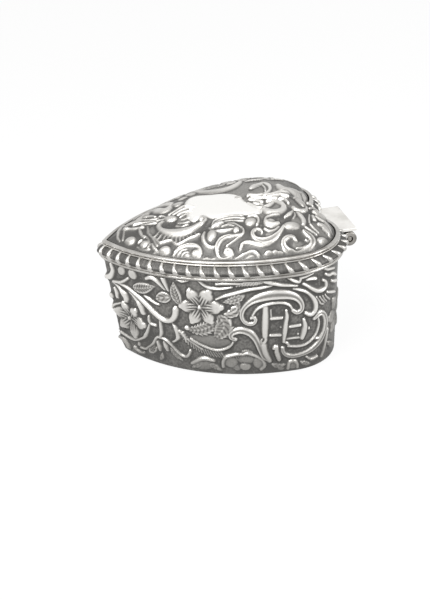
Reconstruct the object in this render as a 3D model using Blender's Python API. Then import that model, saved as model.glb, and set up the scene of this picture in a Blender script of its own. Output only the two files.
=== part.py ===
"""Heart-shaped silver trinket box with a domed lid on a stand-away hinge.

Metres, +Z up. The heart's point faces -Y and its cleft, with the hinge, faces +Y.
The origin is on the underside of the base, midway along the heart's length.
"""

import math

import bmesh
import bpy
from mathutils import Matrix, Vector

# Heart outline, measured round the lower edge of the lid
HEART_LENGTH = 0.064
LOBE_RADIUS = 0.0167
LOBE_HALF_SPACING = 0.0132
SIDE_RADIUS = 0.0528
POINT_RADIUS = 0.0012
LEAST_POINT_RADIUS = 0.0004
CLEFT_RADIUS = 0.0025

# Gaps between soldered pieces, and between pieces that move
SOLDER_GAP = 0.0003
SEAM_GAP = 0.00015
LID_GAP = 0.0003
BEZEL_CLEARANCE = 0.0004
PIN_CLEARANCE = 0.00012

# Embossed side walls and the base
WALL_HEIGHT = 0.0292
WALL_THICKNESS = 0.0010
WALL_TOP_INSET = 0.0009
WALL_FOOT_INSET = 0.0027
WALL_ROWS = 15
FOOT_ROUND = 0.0012
FOOT_FLANGE = 0.0008
BASE_THICKNESS = 0.0010

# Collar inside the wall that the lid closes over
BEZEL_THICKNESS = 0.0007
BEZEL_DEPTH = 0.0050
BEZEL_RISE = 0.0026

# Border of the lid: a gadrooned moulding between two plain wires
LOWER_WIRE_HEIGHT = 0.0011
LOWER_WIRE_OVERHANG = 0.0003
BAND_HEIGHT = 0.0024
BAND_BULGE = 0.0012
BAND_TOP_INSET = 0.0006
BAND_LEDGE = 0.0009
BAND_LEDGE_REACH = 0.0012
GADROONS_PER_SIDE = 27
GADROON_RELIEF = 0.00035
GADROON_SLANT = 0.0013
BAND_FULLNESS = 0.75
GROOVE_END = 0.5
RIB_START = 0.64
RIB_END = 0.82
UPPER_WIRE_WIDTH = 0.0012
UPPER_WIRE_HEIGHT = 0.0010

# Dome of the lid
DOME_RISE = 0.0068
DOME_THICKNESS = 0.0009
DOME_POINT_FULLNESS = 3.6
DOME_LOBE_FULLNESS = 4.6
DOME_CENTRE_Y = 0.0100
DOME_ROUND_RADIUS = 0.0240
DOME_RINGS = (1.0, 0.96, 0.90, 0.81, 0.69, 0.54, 0.36, 0.18)
DOME_OUTER_RINGS = 18

# Embossed ornament: ground sunk below the plain surface, main forms raised above it
WALL_SINK = 0.0003
DOME_SINK = 0.00015
EMBOSS_RISE = 0.0009
EMBOSS_BORDER = 0.0010
EMBOSS_HINGE_CLEARANCE = 0.0120
ORNAMENT_UNIT = HEART_LENGTH / 64

# Oval shield on the lid, in ornament units: centre, half sizes and squareness of its outline
SHIELD_CENTRE = (1.5, 1.5)
SHIELD_HALF = (9.6, 8.7)
SHIELD_POWER = 2.7
SHIELD_RISE = 0.0006

# Scrolls of one half of the wall, in ornament units: half width, then (from the point, up)
WALL_SCROLLS = (
    (1.3, (3, 23), (9, 22.6), (14, 20.2), (18, 17), (21.5, 15.7), (24.5, 17.2), (25.4, 19.5)),
    (1.3, (2, 29), (3.6, 27), (2.8, 25), (0.5, 23.4)),
    (1.3, (17.8, 27.8), (19.5, 27.9), (23, 25.4)),
    (1.3, (7, 5.7), (11, 7.2), (13.7, 9.6), (15, 12.5)),
    (1.3, (10, 4), (13, 5), (17, 9.4), (20, 8.9), (23, 6.5), (25.5, 4.9), (27.4, 6)),
    (1.3, (24, 15), (24.7, 12), (23, 9.2)),
    (1.6, (28, 11), (31, 9.4), (36, 8.2), (39.5, 9), (41, 10.4)),
    (1.9, (46, 17), (44.2, 18.6), (45.6, 22), (49.5, 24), (55, 24.2), (59, 23), (60.9, 20), (59.3, 18.2)),
    (1.4, (50.6, 21), (50.2, 15), (49.6, 10.5)),
    (1.3, (56.1, 19), (55.6, 14.5), (55.2, 10)),
    (1.4, (61.4, 15.2), (60.6, 10.6)),
    (1.6, (41.6, 12), (40.7, 13.4), (43, 14.4), (46, 13.3), (48.6, 9), (51, 5)),
    (1.6, (55.2, 8.2), (56, 6.2), (59, 5.2), (63.5, 6), (68, 9), (69.5, 12.5), (68, 16), (64.8, 15.6)),
    (1.4, (58.6, 25.3), (63, 22.4), (65.3, 19), (63.8, 17)),
    (1.4, (61.5, 26), (65, 23.6), (68, 23), (68.9, 25)),
    (1.3, (38, 23.8), (42.5, 25.4), (47, 26.6), (53, 27)),
)
# Leaves, petals and buds of one half of the wall: from the point, up, half width, half height
WALL_BOSSES = (
    (15.5, 24.2, 3.6, 1.5),
    (21.3, 22.4, 2.6, 1.6),
    (25.2, 25, 1.4, 3.2),
    (28.8, 20.9, 2.2, 1.5),
    (31, 24.2, 1.5, 2.3),
    (35.3, 24.6, 1.6, 2.3),
    (37, 21.3, 2.4, 1.6),
    (30.4, 17.8, 1.6, 2.4),
    (34.6, 17.8, 1.9, 1.9),
    (31, 13.6, 3, 1.2),
    (37, 13.4, 1.7, 3),
    (41.8, 22.6, 2, 1.5),
    (44.8, 4.4, 5, 2.6),
    (2.4, 12.6, 2.4, 1.4),
    (3.6, 9.2, 2, 1.8),
    (8.4, 8.9, 1.9, 1.8),
    (11.4, 12, 1.8, 1.5),
    (10, 15.7, 1.6, 1.6),
    (7.4, 20, 1.4, 1.9),
    (14, 17, 1, 1.8),
    (7.4, 27.4, 1.8, 1.4),
    (12.2, 27.4, 1.7, 1.7),
    (79.5, 14.8, 2.2, 1.6),
    (82.2, 18.6, 1.6, 2.2),
    (86.5, 18.6, 1.6, 2.2),
    (82.2, 11, 1.6, 2.2),
    (86.5, 11, 1.6, 2.2),
)
# Scrolls of the lid seen from above, in ornament units: half width, then (right, towards the hinge)
LID_SCROLLS = (
    (2.0, (8.8, -4.4), (11, -4.2), (12.3, -7), (11, -11), (7.8, -14.3), (3, -15.2)),
    (1.5, (17.7, -14.4), (16.2, -11.2), (17.8, -8.1), (21, -7.5)),
    (1.5, (14.5, -5), (17.2, -6), (19.8, -4.5), (19.4, 0), (19.6, 2)),
    (1.5, (11.6, 4.6), (11.2, 0), (12.8, -3)),
    (1.5, (15.6, 5.2), (14.4, 2), (15, -2)),
    (1.5, (13.4, 8.8), (15.4, 9.4), (17.4, 7.8), (15, 7)),
    (1.6, (20.4, 14.8), (23.2, 11), (22.4, 7.4), (20.2, 6.8), (20, 8.8)),
    (1.5, (17.4, 13.6), (19, 14), (19, 11.8), (16, 11.2)),
    (1.6, (14.4, 19.8), (19.4, 19.8), (20.8, 17), (18.6, 16.6)),
    (1.6, (5, 16.9), (10, 18.5), (14.6, 16.4)),
    (1.6, (7.6, 15), (10.2, 12.9), (13.8, 12)),
    (1.6, (23.8, 21.2), (26, 20.2), (26.8, 17), (25.2, 14.5), (23.4, 16)),
    (1.6, (9, 28.2), (14, 27.5), (17.4, 24.5)),
    (1.6, (7.8, 22.6), (10.6, 20.8), (13.6, 21.8), (11.6, 23)),
    (1.5, (3.2, 11.8), (6, 13.4), (8.8, 12)),
    (1.5, (1.6, -20.6), (5, -21), (9, -20.6)),
    (1.5, (10, -19), (13.4, -17.4), (16.6, -15.2)),
    (1.6, (-9.5, -10.6), (-6, -11.4), (-3.4, -13.6)),
    (1.5, (-8.5, -17.2), (-4, -17.8), (0, -17)),
    (1.5, (-6.5, -22), (-3, -21.8), (0, -20.8)),
    (1.6, (-10.5, 16.6), (-6, 17.6), (-1, 15)),
    (1.5, (-10, 21.6), (-6, 22.2), (-2.6, 22.8)),
    (1.6, (-11, 6), (-9.6, 2), (-9.8, -3)),
)
# The lid's far half repeats the near one beyond this line
LID_MIRROR_EDGE = -6.0

# Hinge: leaves that stand out of the cleft, five knuckles and a pin
HINGE_WIDTH = 0.0178
HINGE_SETBACK = 0.0061
HINGE_LIFT = 0.0010
KNUCKLE_RADIUS = 0.0020
KNUCKLE_COUNT = 5
PIN_RADIUS = 0.0008
PIN_RECESS = 0.0002
LEAF_THICKNESS = 0.0008

# Facets: steps of the outline's point, side, lobe and cleft
PLAIN_STEPS = (2, 13, 14, 3)
WALL_STEPS = (2, 26, 28, 4)
DOME_STEPS = (2, 20, 21, 3)
FOOT_STEPS = 4
BAND_STEPS = 5
LEAF_STEPS = 4
ROUND_STEPS = 24
WIRE_BEVEL = 0.3
SHARP_EDGE_DEGREES = 35

# Levels and offsets that follow from the sizes above
LID_FLOOR = WALL_HEIGHT + LID_GAP
BAND_FLOOR = LID_FLOOR + LOWER_WIRE_HEIGHT + SOLDER_GAP
BAND_TOP = BAND_FLOOR + BAND_HEIGHT
UPPER_FLOOR = BAND_TOP + SOLDER_GAP
RIM_TOP = UPPER_FLOOR + DOME_THICKNESS
LEAF_FLOOR = LID_FLOOR + HINGE_LIFT
LEAF_TOP = LEAF_FLOOR + LEAF_THICKNESS
HINGE_EDGE_Y = HEART_LENGTH / 2 + HINGE_SETBACK
AXIS_Y = HINGE_EDGE_Y - KNUCKLE_RADIUS
AXIS_Z = LEAF_FLOOR - SOLDER_GAP - KNUCKLE_RADIUS
LOBE_CENTRE = Vector((LOBE_HALF_SPACING, HEART_LENGTH / 2 - LOBE_RADIUS))


def side_centre():
    """Centre of the arc that runs from the point and flows into the lobe."""
    point = Vector((0.0, -HEART_LENGTH / 2))
    to_point = point - LOBE_CENTRE
    inner = SIDE_RADIUS - LOBE_RADIUS
    along = (inner**2 - SIDE_RADIUS**2 + to_point.length_squared) / (2 * to_point.length)
    across = math.sqrt(inner**2 - along**2)
    unit = to_point.normalized()
    left = Vector((unit.y, -unit.x))
    return LOBE_CENTRE + unit * along + left * across


SIDE_CENTRE = side_centre()


def half_arcs(offset):
    """The four arcs of the right half, point to cleft, grown outwards by offset."""
    side_radius = SIDE_RADIUS + offset
    point_radius = max(POINT_RADIUS + offset, LEAST_POINT_RADIUS)
    drop = math.sqrt((side_radius - point_radius) ** 2 - SIDE_CENTRE.x**2)
    point_centre = Vector((0.0, SIDE_CENTRE.y - drop))
    reach = LOBE_RADIUS + CLEFT_RADIUS
    rise = math.sqrt(reach**2 - LOBE_HALF_SPACING**2)
    cleft_centre = Vector((0.0, LOBE_CENTRE.y + rise))
    leave_point = math.atan2(*reversed(point_centre - SIDE_CENTRE))
    leave_side = math.atan2(*reversed(LOBE_CENTRE - SIDE_CENTRE))
    leave_lobe = math.atan2(*reversed(cleft_centre - LOBE_CENTRE))
    down = -math.pi / 2
    return (
        (point_centre, point_radius, down, leave_point),
        (SIDE_CENTRE, side_radius, leave_point, leave_side),
        (LOBE_CENTRE, LOBE_RADIUS + offset, leave_side, leave_lobe),
        (cleft_centre, CLEFT_RADIUS - offset, leave_lobe - math.pi, down),
    )


def arc_point(arc, share):
    centre, radius, start, end = arc
    angle = start + (end - start) * share
    return centre + radius * Vector((math.cos(angle), math.sin(angle)))


def outline_stations(steps):
    """(arc number, share of that arc) for each point of a half outline."""
    found = [(n, i / count) for n, count in enumerate(steps) for i in range(count)]
    return found + [(len(steps) - 1, 1.0)]


def station_at(length):
    """The station that lies this far along the half outline from the point."""
    arcs = half_arcs(0.0)
    for number, (_, radius, start, end) in enumerate(arcs):
        arc_length = radius * abs(end - start)
        if length <= arc_length:
            return number, max(length, 0.0) / arc_length
        length -= arc_length
    return len(arcs) - 1, 1.0


def arc_lengths():
    return [radius * abs(end - start) for _, radius, start, end in half_arcs(0.0)]


def half_length():
    return sum(arc_lengths())


def length_at(station):
    """How far along the half outline from the point a station lies."""
    number, share = station
    lengths = arc_lengths()
    return sum(lengths[:number]) + lengths[number] * share


def half_outline(offset, steps=PLAIN_STEPS):
    arcs = half_arcs(offset)
    return [arc_point(arcs[n], share) for n, share in outline_stations(steps)]


def mirrored(points):
    """A right half from point to cleft, closed by its mirror image."""
    return points + [Vector((-p.x, p.y)) for p in reversed(points[1:-1])]


def full_outline(offset, steps=PLAIN_STEPS):
    return mirrored(half_outline(offset, steps))


def wall_inset(height):
    """How far the outside of the wall lies inside the heart outline at a height."""
    share = (height - FOOT_ROUND) / (WALL_HEIGHT - FOOT_ROUND)
    return WALL_FOOT_INSET + (WALL_TOP_INSET - WALL_FOOT_INSET) * share


def path_distance(place, points):
    """Distance from a place to the nearest straight piece of a path."""
    nearest = math.inf
    for start, end in zip(points, points[1:]):
        first = Vector(start)
        run = Vector(end) - first
        share = (place - first).dot(run) / run.length_squared
        nearest = min(nearest, (place - first - run * min(max(share, 0.0), 1.0)).length)
    return nearest


def crest(scrolls, bosses, place):
    """How high the ornament stands at a place: 0 on the ground, 1 on a crest."""
    high = max(1 - (path_distance(place, points) / width) ** 2 for width, *points in scrolls)
    for x, y, across, up in bosses:
        high = max(high, 1 - ((place.x - x) / across) ** 2 - ((place.y - y) / up) ** 2)
    return max(high, 0.0)


def wall_relief(length, height):
    """How far the ornament moves the wall's outside, plain along its edges and at the hinge."""
    edge = min(height, WALL_HEIGHT - height, length, half_length() - EMBOSS_HINGE_CLEARANCE - length)
    fade = min(max(edge / EMBOSS_BORDER, 0.0), 1.0)
    place = Vector((length, height)) / ORNAMENT_UNIT
    return fade * (EMBOSS_RISE * crest(WALL_SCROLLS, WALL_BOSSES, place) - WALL_SINK)


def dome_relief(flat):
    """How far the ornament lifts the lid: the shield, and scrolls around it."""
    place = flat / ORNAMENT_UNIT
    shares = [abs((place[i] - SHIELD_CENTRE[i]) / SHIELD_HALF[i]) ** SHIELD_POWER for i in range(2)]
    if sum(shares) < 1:
        return SHIELD_RISE - DOME_SINK
    high = crest(LID_SCROLLS, (), place)
    if place.x < LID_MIRROR_EDGE:
        high = max(high, crest(LID_SCROLLS, (), Vector((-place.x, place.y))))
    return EMBOSS_RISE * high - DOME_SINK


def silver(name, colour, roughness):
    material = bpy.data.materials.new(name)
    material.use_nodes = True
    shader = material.node_tree.nodes["Principled BSDF"]
    shader.inputs["Base Color"].default_value = (*colour, 1.0)
    shader.inputs["Metallic"].default_value = 1.0
    shader.inputs["Roughness"].default_value = roughness
    return material


def add_solid(name, mesh_maker, material, parent=None):
    """An object whose mesh is filled by mesh_maker, carried by parent where it moves."""
    mesh = bpy.data.meshes.new(name)
    work = bmesh.new()
    mesh_maker(work)
    bmesh.ops.recalc_face_normals(work, faces=work.faces)
    work.to_mesh(mesh)
    work.free()
    mesh.shade_smooth()
    mesh.set_sharp_from_angle(angle=math.radians(SHARP_EDGE_DEGREES))
    mesh.materials.append(material)
    solid = bpy.data.objects.new(name, mesh)
    bpy.context.scene.collection.objects.link(solid)
    if parent:
        solid.parent = parent
        solid.matrix_parent_inverse = Matrix.Translation(parent.location).inverted()
    return solid


def bridge(work, loops, closed):
    """Quads between neighbouring loops of vertices, each loop closed on itself."""
    pairs = zip(loops, loops[1:] + loops[:1] if closed else loops[1:])
    for first, second in pairs:
        for i in range(len(first)):
            j = (i + 1) % len(first)
            work.faces.new((first[i], first[j], second[j], second[i]))


def ring(profile):
    """A closed heart-shaped ring whose section is the profile of (offset, height)."""

    def fill(work):
        outlines = [full_outline(offset) for offset, _ in profile]
        loops = [
            [work.verts.new((outline[i].x, outline[i].y, z)) for outline, (_, z) in zip(outlines, profile)]
            for i in range(len(outlines[0]))
        ]
        bridge(work, loops, closed=True)

    return fill


def wall_half(side):
    """One half of the wall, embossed outside, capped beside the seams at the point and the cleft."""

    def fill(work):
        loops = []
        for station in outline_stations(WALL_STEPS):
            length = length_at(station)
            profile = [(offset + wall_relief(length, z), z) for offset, z in wall_face()] + wall_back()
            loop = []
            for offset, z in profile:
                flat = arc_point(half_arcs(offset)[station[0]], station[1])
                loop.append(work.verts.new((side * max(flat.x, SEAM_GAP / 2), flat.y, z)))
            loops.append(loop)
        bridge(work, loops, closed=False)
        work.faces.new(loops[0])
        work.faces.new(loops[-1])

    return fill


def slab(outline, floor, top):
    """A flat plate of the given plan between two heights."""

    def fill(work):
        loops = [[work.verts.new((p.x, p.y, z)) for p in outline] for z in (floor, top)]
        bridge(work, loops, closed=False)
        for loop in loops:
            work.faces.new(loop)

    return fill


def wall_face():
    """The wall's outside from its rounded foot to its top, as (offset, height)."""
    face = []
    for i in range(FOOT_STEPS):
        turn = math.pi / 2 * i / FOOT_STEPS
        inset = WALL_FOOT_INSET + FOOT_ROUND * (1 - math.sin(turn))
        face.append((-inset, FOOT_ROUND * (1 - math.cos(turn))))
    for i in range(WALL_ROWS + 1):
        height = FOOT_ROUND + (WALL_HEIGHT - FOOT_ROUND) * i / WALL_ROWS
        face.append((-wall_inset(height), height))
    return face


def wall_back():
    """The wall's inside from its top to the flange that the base lies within."""
    flange_inset = WALL_FOOT_INSET + FOOT_ROUND + FOOT_FLANGE
    return [
        (-WALL_TOP_INSET - WALL_THICKNESS, WALL_HEIGHT),
        (-WALL_FOOT_INSET - WALL_THICKNESS, FOOT_ROUND),
        (-WALL_FOOT_INSET - FOOT_ROUND, WALL_THICKNESS),
        (-flange_inset, WALL_THICKNESS),
        (-flange_inset, 0.0),
    ]


def base_outline():
    return full_outline(-(WALL_FOOT_INSET + FOOT_ROUND + FOOT_FLANGE + SOLDER_GAP))


def bezel_offset():
    """Outside of the bezel, seated against the tapering wall at the bezel's foot."""
    return -(wall_inset(WALL_HEIGHT - BEZEL_DEPTH) + WALL_THICKNESS + SOLDER_GAP)


def bezel_profile():
    outside = bezel_offset()
    inside = outside - BEZEL_THICKNESS
    floor = WALL_HEIGHT - BEZEL_DEPTH
    top = WALL_HEIGHT + BEZEL_RISE
    return [(outside, floor), (outside, top), (inside, top), (inside, floor)]


def lid_bore():
    """Inside of the lid's border, a clearance outside the bezel."""
    return bezel_offset() + BEZEL_CLEARANCE


def lower_wire_profile():
    top = LID_FLOOR + LOWER_WIRE_HEIGHT
    bevel = LOWER_WIRE_HEIGHT * WIRE_BEVEL
    return [
        (lid_bore(), LID_FLOOR),
        (LOWER_WIRE_OVERHANG - bevel, LID_FLOOR),
        (LOWER_WIRE_OVERHANG, LID_FLOOR + bevel),
        (LOWER_WIRE_OVERHANG, top - bevel),
        (LOWER_WIRE_OVERHANG - bevel, top),
        (lid_bore(), top),
    ]


def upper_wire_profile():
    outside = -BAND_TOP_INSET
    inside = outside - UPPER_WIRE_WIDTH
    top = UPPER_FLOOR + UPPER_WIRE_HEIGHT
    bevel = UPPER_WIRE_HEIGHT * WIRE_BEVEL
    return [
        (inside, UPPER_FLOOR),
        (outside, UPPER_FLOOR),
        (outside, top - bevel),
        (outside - bevel, top),
        (inside + bevel, top),
        (inside, top - bevel),
    ]


def band_face(relief):
    """The moulding's bulging face from foot to top, as (offset, height, share of the rise)."""
    face = []
    for i in range(BAND_STEPS + 1):
        share = i / BAND_STEPS
        swell = BAND_BULGE * math.sin(math.pi * share**BAND_FULLNESS)
        raised = relief * math.sin(math.pi * share)
        face.append((swell + raised - BAND_TOP_INSET * share**2, BAND_FLOOR + BAND_HEIGHT * share, share))
    return face


def band_back():
    """The moulding's hidden side: a ledge that carries the dome, above the bezel's bore."""
    ledge_inset = BAND_TOP_INSET + UPPER_WIRE_WIDTH + SOLDER_GAP + BAND_LEDGE_REACH
    return [
        (-ledge_inset, BAND_TOP, 0.0),
        (-ledge_inset, BAND_TOP - BAND_LEDGE, 0.0),
        (lid_bore(), BAND_TOP - BAND_LEDGE, 0.0),
        (lid_bore(), BAND_FLOOR, 0.0),
    ]


def gadroon_band(work):
    """The moulding's ring: slanting ribs with flat grounds between them, mirrored side to side."""
    pitch = half_length() / GADROONS_PER_SIDE
    shares = ((0.0, 0.0), (GROOVE_END, 0.0), (RIB_START, 1.0), (RIB_END, 1.0))
    columns = [(n + share, height) for n in range(GADROONS_PER_SIDE) for share, height in shares]
    columns.append((GADROONS_PER_SIDE, 0.0))
    half = []
    for place, height in columns:
        profile = band_face(GADROON_RELIEF * height) + band_back()
        ends = min(place, GADROONS_PER_SIDE - place, 1.0)
        points = []
        for offset, z, share in profile:
            along = place * pitch + GADROON_SLANT * (0.5 - share) * ends
            station = station_at(along)
            flat = arc_point(half_arcs(offset)[station[0]], station[1])
            points.append(Vector((flat.x, flat.y, z)))
        half.append(points)
    half[0] = [Vector((0.0, p.y, p.z)) for p in half[0]]
    half[-1] = [Vector((0.0, p.y, p.z)) for p in half[-1]]
    other = [[Vector((-p.x, p.y, p.z)) for p in column] for column in reversed(half[1:-1])]
    loops = [[work.verts.new(p) for p in column] for column in half + other]
    bridge(work, loops, closed=True)


def dome(work):
    """A domed sheet, a heart at its rim and rounder towards its centre, embossed on top.

    It rises gently from the point and steeply from the lobes.
    """
    rim = full_outline(-(BAND_TOP_INSET + UPPER_WIRE_WIDTH + SOLDER_GAP), DOME_STEPS)
    centre = Vector((0.0, DOME_CENTRE_Y))

    def loop(ring_share, drop, embossed):
        found = []
        for spoke in (p - centre for p in rim):
            way = spoke.normalized()
            lobe_share = (1 + way.y) / 2
            fullness = DOME_POINT_FULLNESS + (DOME_LOBE_FULLNESS - DOME_POINT_FULLNESS) * lobe_share
            reach = (spoke.length * ring_share + DOME_ROUND_RADIUS * (1 - ring_share)) * ring_share
            flat = centre + way * reach
            z = RIM_TOP + DOME_RISE * (1 - ring_share**fullness) - drop
            lift = dome_relief(flat) if embossed else 0.0
            found.append(work.verts.new((flat.x, flat.y, z + lift)))
        return found

    outer = [loop(1.0, 0.0, False)]
    outer += [loop(1 - i / DOME_OUTER_RINGS, 0.0, True) for i in range(1, DOME_OUTER_RINGS)]
    inner = [loop(share, DOME_THICKNESS, False) for share in DOME_RINGS]
    bridge(work, inner[::-1] + outer, closed=False)
    for last, lift in ((outer[-1], dome_relief(centre)), (inner[-1], -DOME_THICKNESS)):
        apex = work.verts.new((centre.x, centre.y, RIM_TOP + DOME_RISE + lift))
        for i, vertex in enumerate(last):
            work.faces.new((vertex, last[(i + 1) % len(last)], apex))


def leaf_outline(offset, edge_y):
    """Plan of a hinge leaf: straight at the hinge, fitted into the cleft between the lobes."""
    lobe, cleft = half_arcs(offset)[2:]
    centre, radius, _, end = lobe
    start = math.acos((HINGE_WIDTH / 2 - centre.x) / radius)
    half = [Vector((HINGE_WIDTH / 2, edge_y))]
    half += [arc_point((centre, radius, start, end), i / LEAF_STEPS) for i in range(LEAF_STEPS)]
    cleft_steps = PLAIN_STEPS[-1]
    half += [arc_point(cleft, i / cleft_steps) for i in range(cleft_steps + 1)]
    return half + [Vector((-p.x, p.y)) for p in reversed(half[:-1])]


def leaf_clearance():
    """How far outside the heart the lid's leaf starts, clear of the border beside it."""
    swell = max(offset for offset, z, _ in band_face(GADROON_RELIEF) if z <= LEAF_TOP + SOLDER_GAP)
    return max(swell, LOWER_WIRE_OVERHANG) + SOLDER_GAP


def tube(start, end, radius, bore):
    """A round bar along X on the hinge axis, hollow where it has a bore."""

    def fill(work):
        def loop(x, size):
            angles = [2 * math.pi * i / ROUND_STEPS for i in range(ROUND_STEPS)]
            return [
                work.verts.new((x, AXIS_Y + size * math.cos(a), AXIS_Z + size * math.sin(a)))
                for a in angles
            ]

        if bore:
            loops = [loop(start, radius), loop(end, radius), loop(end, bore), loop(start, bore)]
            bridge(work, loops, closed=True)
        else:
            loops = [loop(start, radius), loop(end, radius)]
            bridge(work, loops, closed=False)
            for cap in loops:
                work.faces.new(cap)

    return fill


def build_body(embossed, plain):
    for name, side in (("right_wall", 1), ("left_wall", -1)):
        add_solid(name, wall_half(side), embossed)
    add_solid("base_plate", slab(base_outline(), 0.0, BASE_THICKNESS), plain)
    add_solid("body_bezel", ring(bezel_profile()), plain)


def build_lid(embossed, plain, hinge):
    add_solid("lower_fillet_wire", ring(lower_wire_profile()), plain, hinge)
    add_solid("gadroon_band", gadroon_band, embossed, hinge)
    add_solid("upper_fillet_wire", ring(upper_wire_profile()), plain, hinge)
    add_solid("lid_dome", dome, embossed, hinge)


def build_hinge(plain, pin_metal, hinge):
    lid_leaf = leaf_outline(leaf_clearance(), HINGE_EDGE_Y)
    add_solid("lid_hinge_leaf", slab(lid_leaf, LEAF_FLOOR, LEAF_TOP), plain, hinge)
    leaf_top = AXIS_Z + LEAF_THICKNESS / 2
    edge_y = AXIS_Y - KNUCKLE_RADIUS - SOLDER_GAP
    body_leaf = leaf_outline(SOLDER_GAP - wall_inset(leaf_top), edge_y)
    add_solid("body_hinge_leaf", slab(body_leaf, leaf_top - LEAF_THICKNESS, leaf_top), plain)
    length = (HINGE_WIDTH - SOLDER_GAP * (KNUCKLE_COUNT - 1)) / KNUCKLE_COUNT
    body_count = lid_count = 0
    for i in range(KNUCKLE_COUNT):
        start = -HINGE_WIDTH / 2 + i * (length + SOLDER_GAP)
        shape = tube(start, start + length, KNUCKLE_RADIUS, PIN_RADIUS + PIN_CLEARANCE)
        if i % 2:
            lid_count += 1
            add_solid(f"lid_knuckle_{lid_count}", shape, plain, hinge)
        else:
            body_count += 1
            add_solid(f"body_knuckle_{body_count}", shape, plain)
    pin_end = HINGE_WIDTH / 2 - PIN_RECESS
    add_solid("hinge_pin", tube(-pin_end, pin_end, PIN_RADIUS, 0.0), pin_metal)


def main():
    for old in list(bpy.data.objects):
        bpy.data.objects.remove(old)
    embossed = silver("oxidised_silver", (0.55, 0.54, 0.53), 0.38)
    plain = silver("polished_silver", (0.84, 0.83, 0.81), 0.24)
    pin_metal = silver("drawn_wire", (0.62, 0.61, 0.58), 0.32)
    hinge = bpy.data.objects.new("lid_hinge_axis", None)
    hinge.location = (0.0, AXIS_Y, AXIS_Z)
    bpy.context.scene.collection.objects.link(hinge)
    build_body(embossed, plain)
    build_lid(embossed, plain, hinge)
    build_hinge(plain, pin_metal, hinge)
    print(f"hinge axis y {AXIS_Y:.5f} z {AXIS_Z:.5f}, height {RIM_TOP + DOME_RISE:.5f}")


main()
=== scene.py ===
import math

import bmesh
import bpy
import numpy as np
from mathutils import Matrix, Vector


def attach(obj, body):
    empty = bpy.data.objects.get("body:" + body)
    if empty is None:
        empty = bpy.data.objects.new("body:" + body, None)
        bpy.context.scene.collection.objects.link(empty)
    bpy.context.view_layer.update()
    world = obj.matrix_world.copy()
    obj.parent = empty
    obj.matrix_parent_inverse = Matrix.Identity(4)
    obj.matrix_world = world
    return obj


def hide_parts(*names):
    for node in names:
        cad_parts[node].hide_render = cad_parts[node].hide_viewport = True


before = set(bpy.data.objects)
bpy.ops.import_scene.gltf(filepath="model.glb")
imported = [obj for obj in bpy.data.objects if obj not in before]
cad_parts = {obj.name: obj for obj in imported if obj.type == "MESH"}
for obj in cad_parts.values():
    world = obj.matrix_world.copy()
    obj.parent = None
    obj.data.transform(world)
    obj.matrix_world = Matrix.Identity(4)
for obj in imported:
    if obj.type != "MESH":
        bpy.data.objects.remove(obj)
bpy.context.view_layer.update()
print("frame loaded,", len(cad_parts), "nodes")
mm = 0.001


def within(values):  # held between 0 and 1
    return np.clip(values, 0.0, 1.0)


# Heart outline in millimetres, as in the solids: lower edge of the lid, point at -Y
heart = {
    "length": 64.0,
    "lobeRadius": 16.7,
    "lobeSpacing": 13.2,  # half the distance between the lobes' centres
    "sideRadius": 52.8,
    "pointRadius": 1.2,
    "leastPoint": 0.4,
    "cleftRadius": 2.5,
    "inside": (0.0, 5.0, 10.0),  # a place well inside, to tell outward from inward
}
lobeCentre = np.array([heart["lobeSpacing"], heart["length"] / 2 - heart["lobeRadius"]])


def findSideCentre():
    toPoint = np.array([0.0, -heart["length"] / 2]) - lobeCentre
    reach = np.linalg.norm(toPoint)
    inner = heart["sideRadius"] - heart["lobeRadius"]
    along = (inner**2 - heart["sideRadius"] ** 2 + reach**2) / (2 * reach)
    across = math.sqrt(inner**2 - along**2)
    unit = toPoint / reach
    return lobeCentre + unit * along + np.array([unit[1], -unit[0]]) * across


sideCentre = findSideCentre()


cleftReach = heart["lobeRadius"] + heart["cleftRadius"]
cleftY = lobeCentre[1] + math.sqrt(cleftReach**2 - heart["lobeSpacing"] ** 2)
leaveSide = math.atan2(*(lobeCentre - sideCentre)[::-1])  # angles at which one arc passes to the next
leaveLobe = math.atan2(cleftY - lobeCentre[1], -lobeCentre[0])


def arcTerms(offset):  # what changes when the outline is grown by offset
    offset = np.asarray(offset, float)
    sideR = heart["sideRadius"] + offset
    pointR = np.maximum(heart["pointRadius"] + offset, heart["leastPoint"])
    pointY = sideCentre[1] - np.sqrt((sideR - pointR) ** 2 - sideCentre[0] ** 2)
    leavePoint = np.arctan2(pointY - sideCentre[1], -sideCentre[0])
    return sideR, pointR, pointY, leavePoint


def arcLengths():
    sideR, pointR, pointY, leavePoint = arcTerms(0.0)
    return np.array(
        [
            pointR * abs(leavePoint + math.pi / 2),
            sideR * abs(leaveSide - leavePoint),
            heart["lobeRadius"] * abs(leaveLobe - leaveSide),
            heart["cleftRadius"] * abs(math.pi / 2 - leaveLobe),
        ]
    )


arcSpans = arcLengths()
arcEnds = np.cumsum(arcSpans)
halfLength = float(arcEnds[-1])


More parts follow.
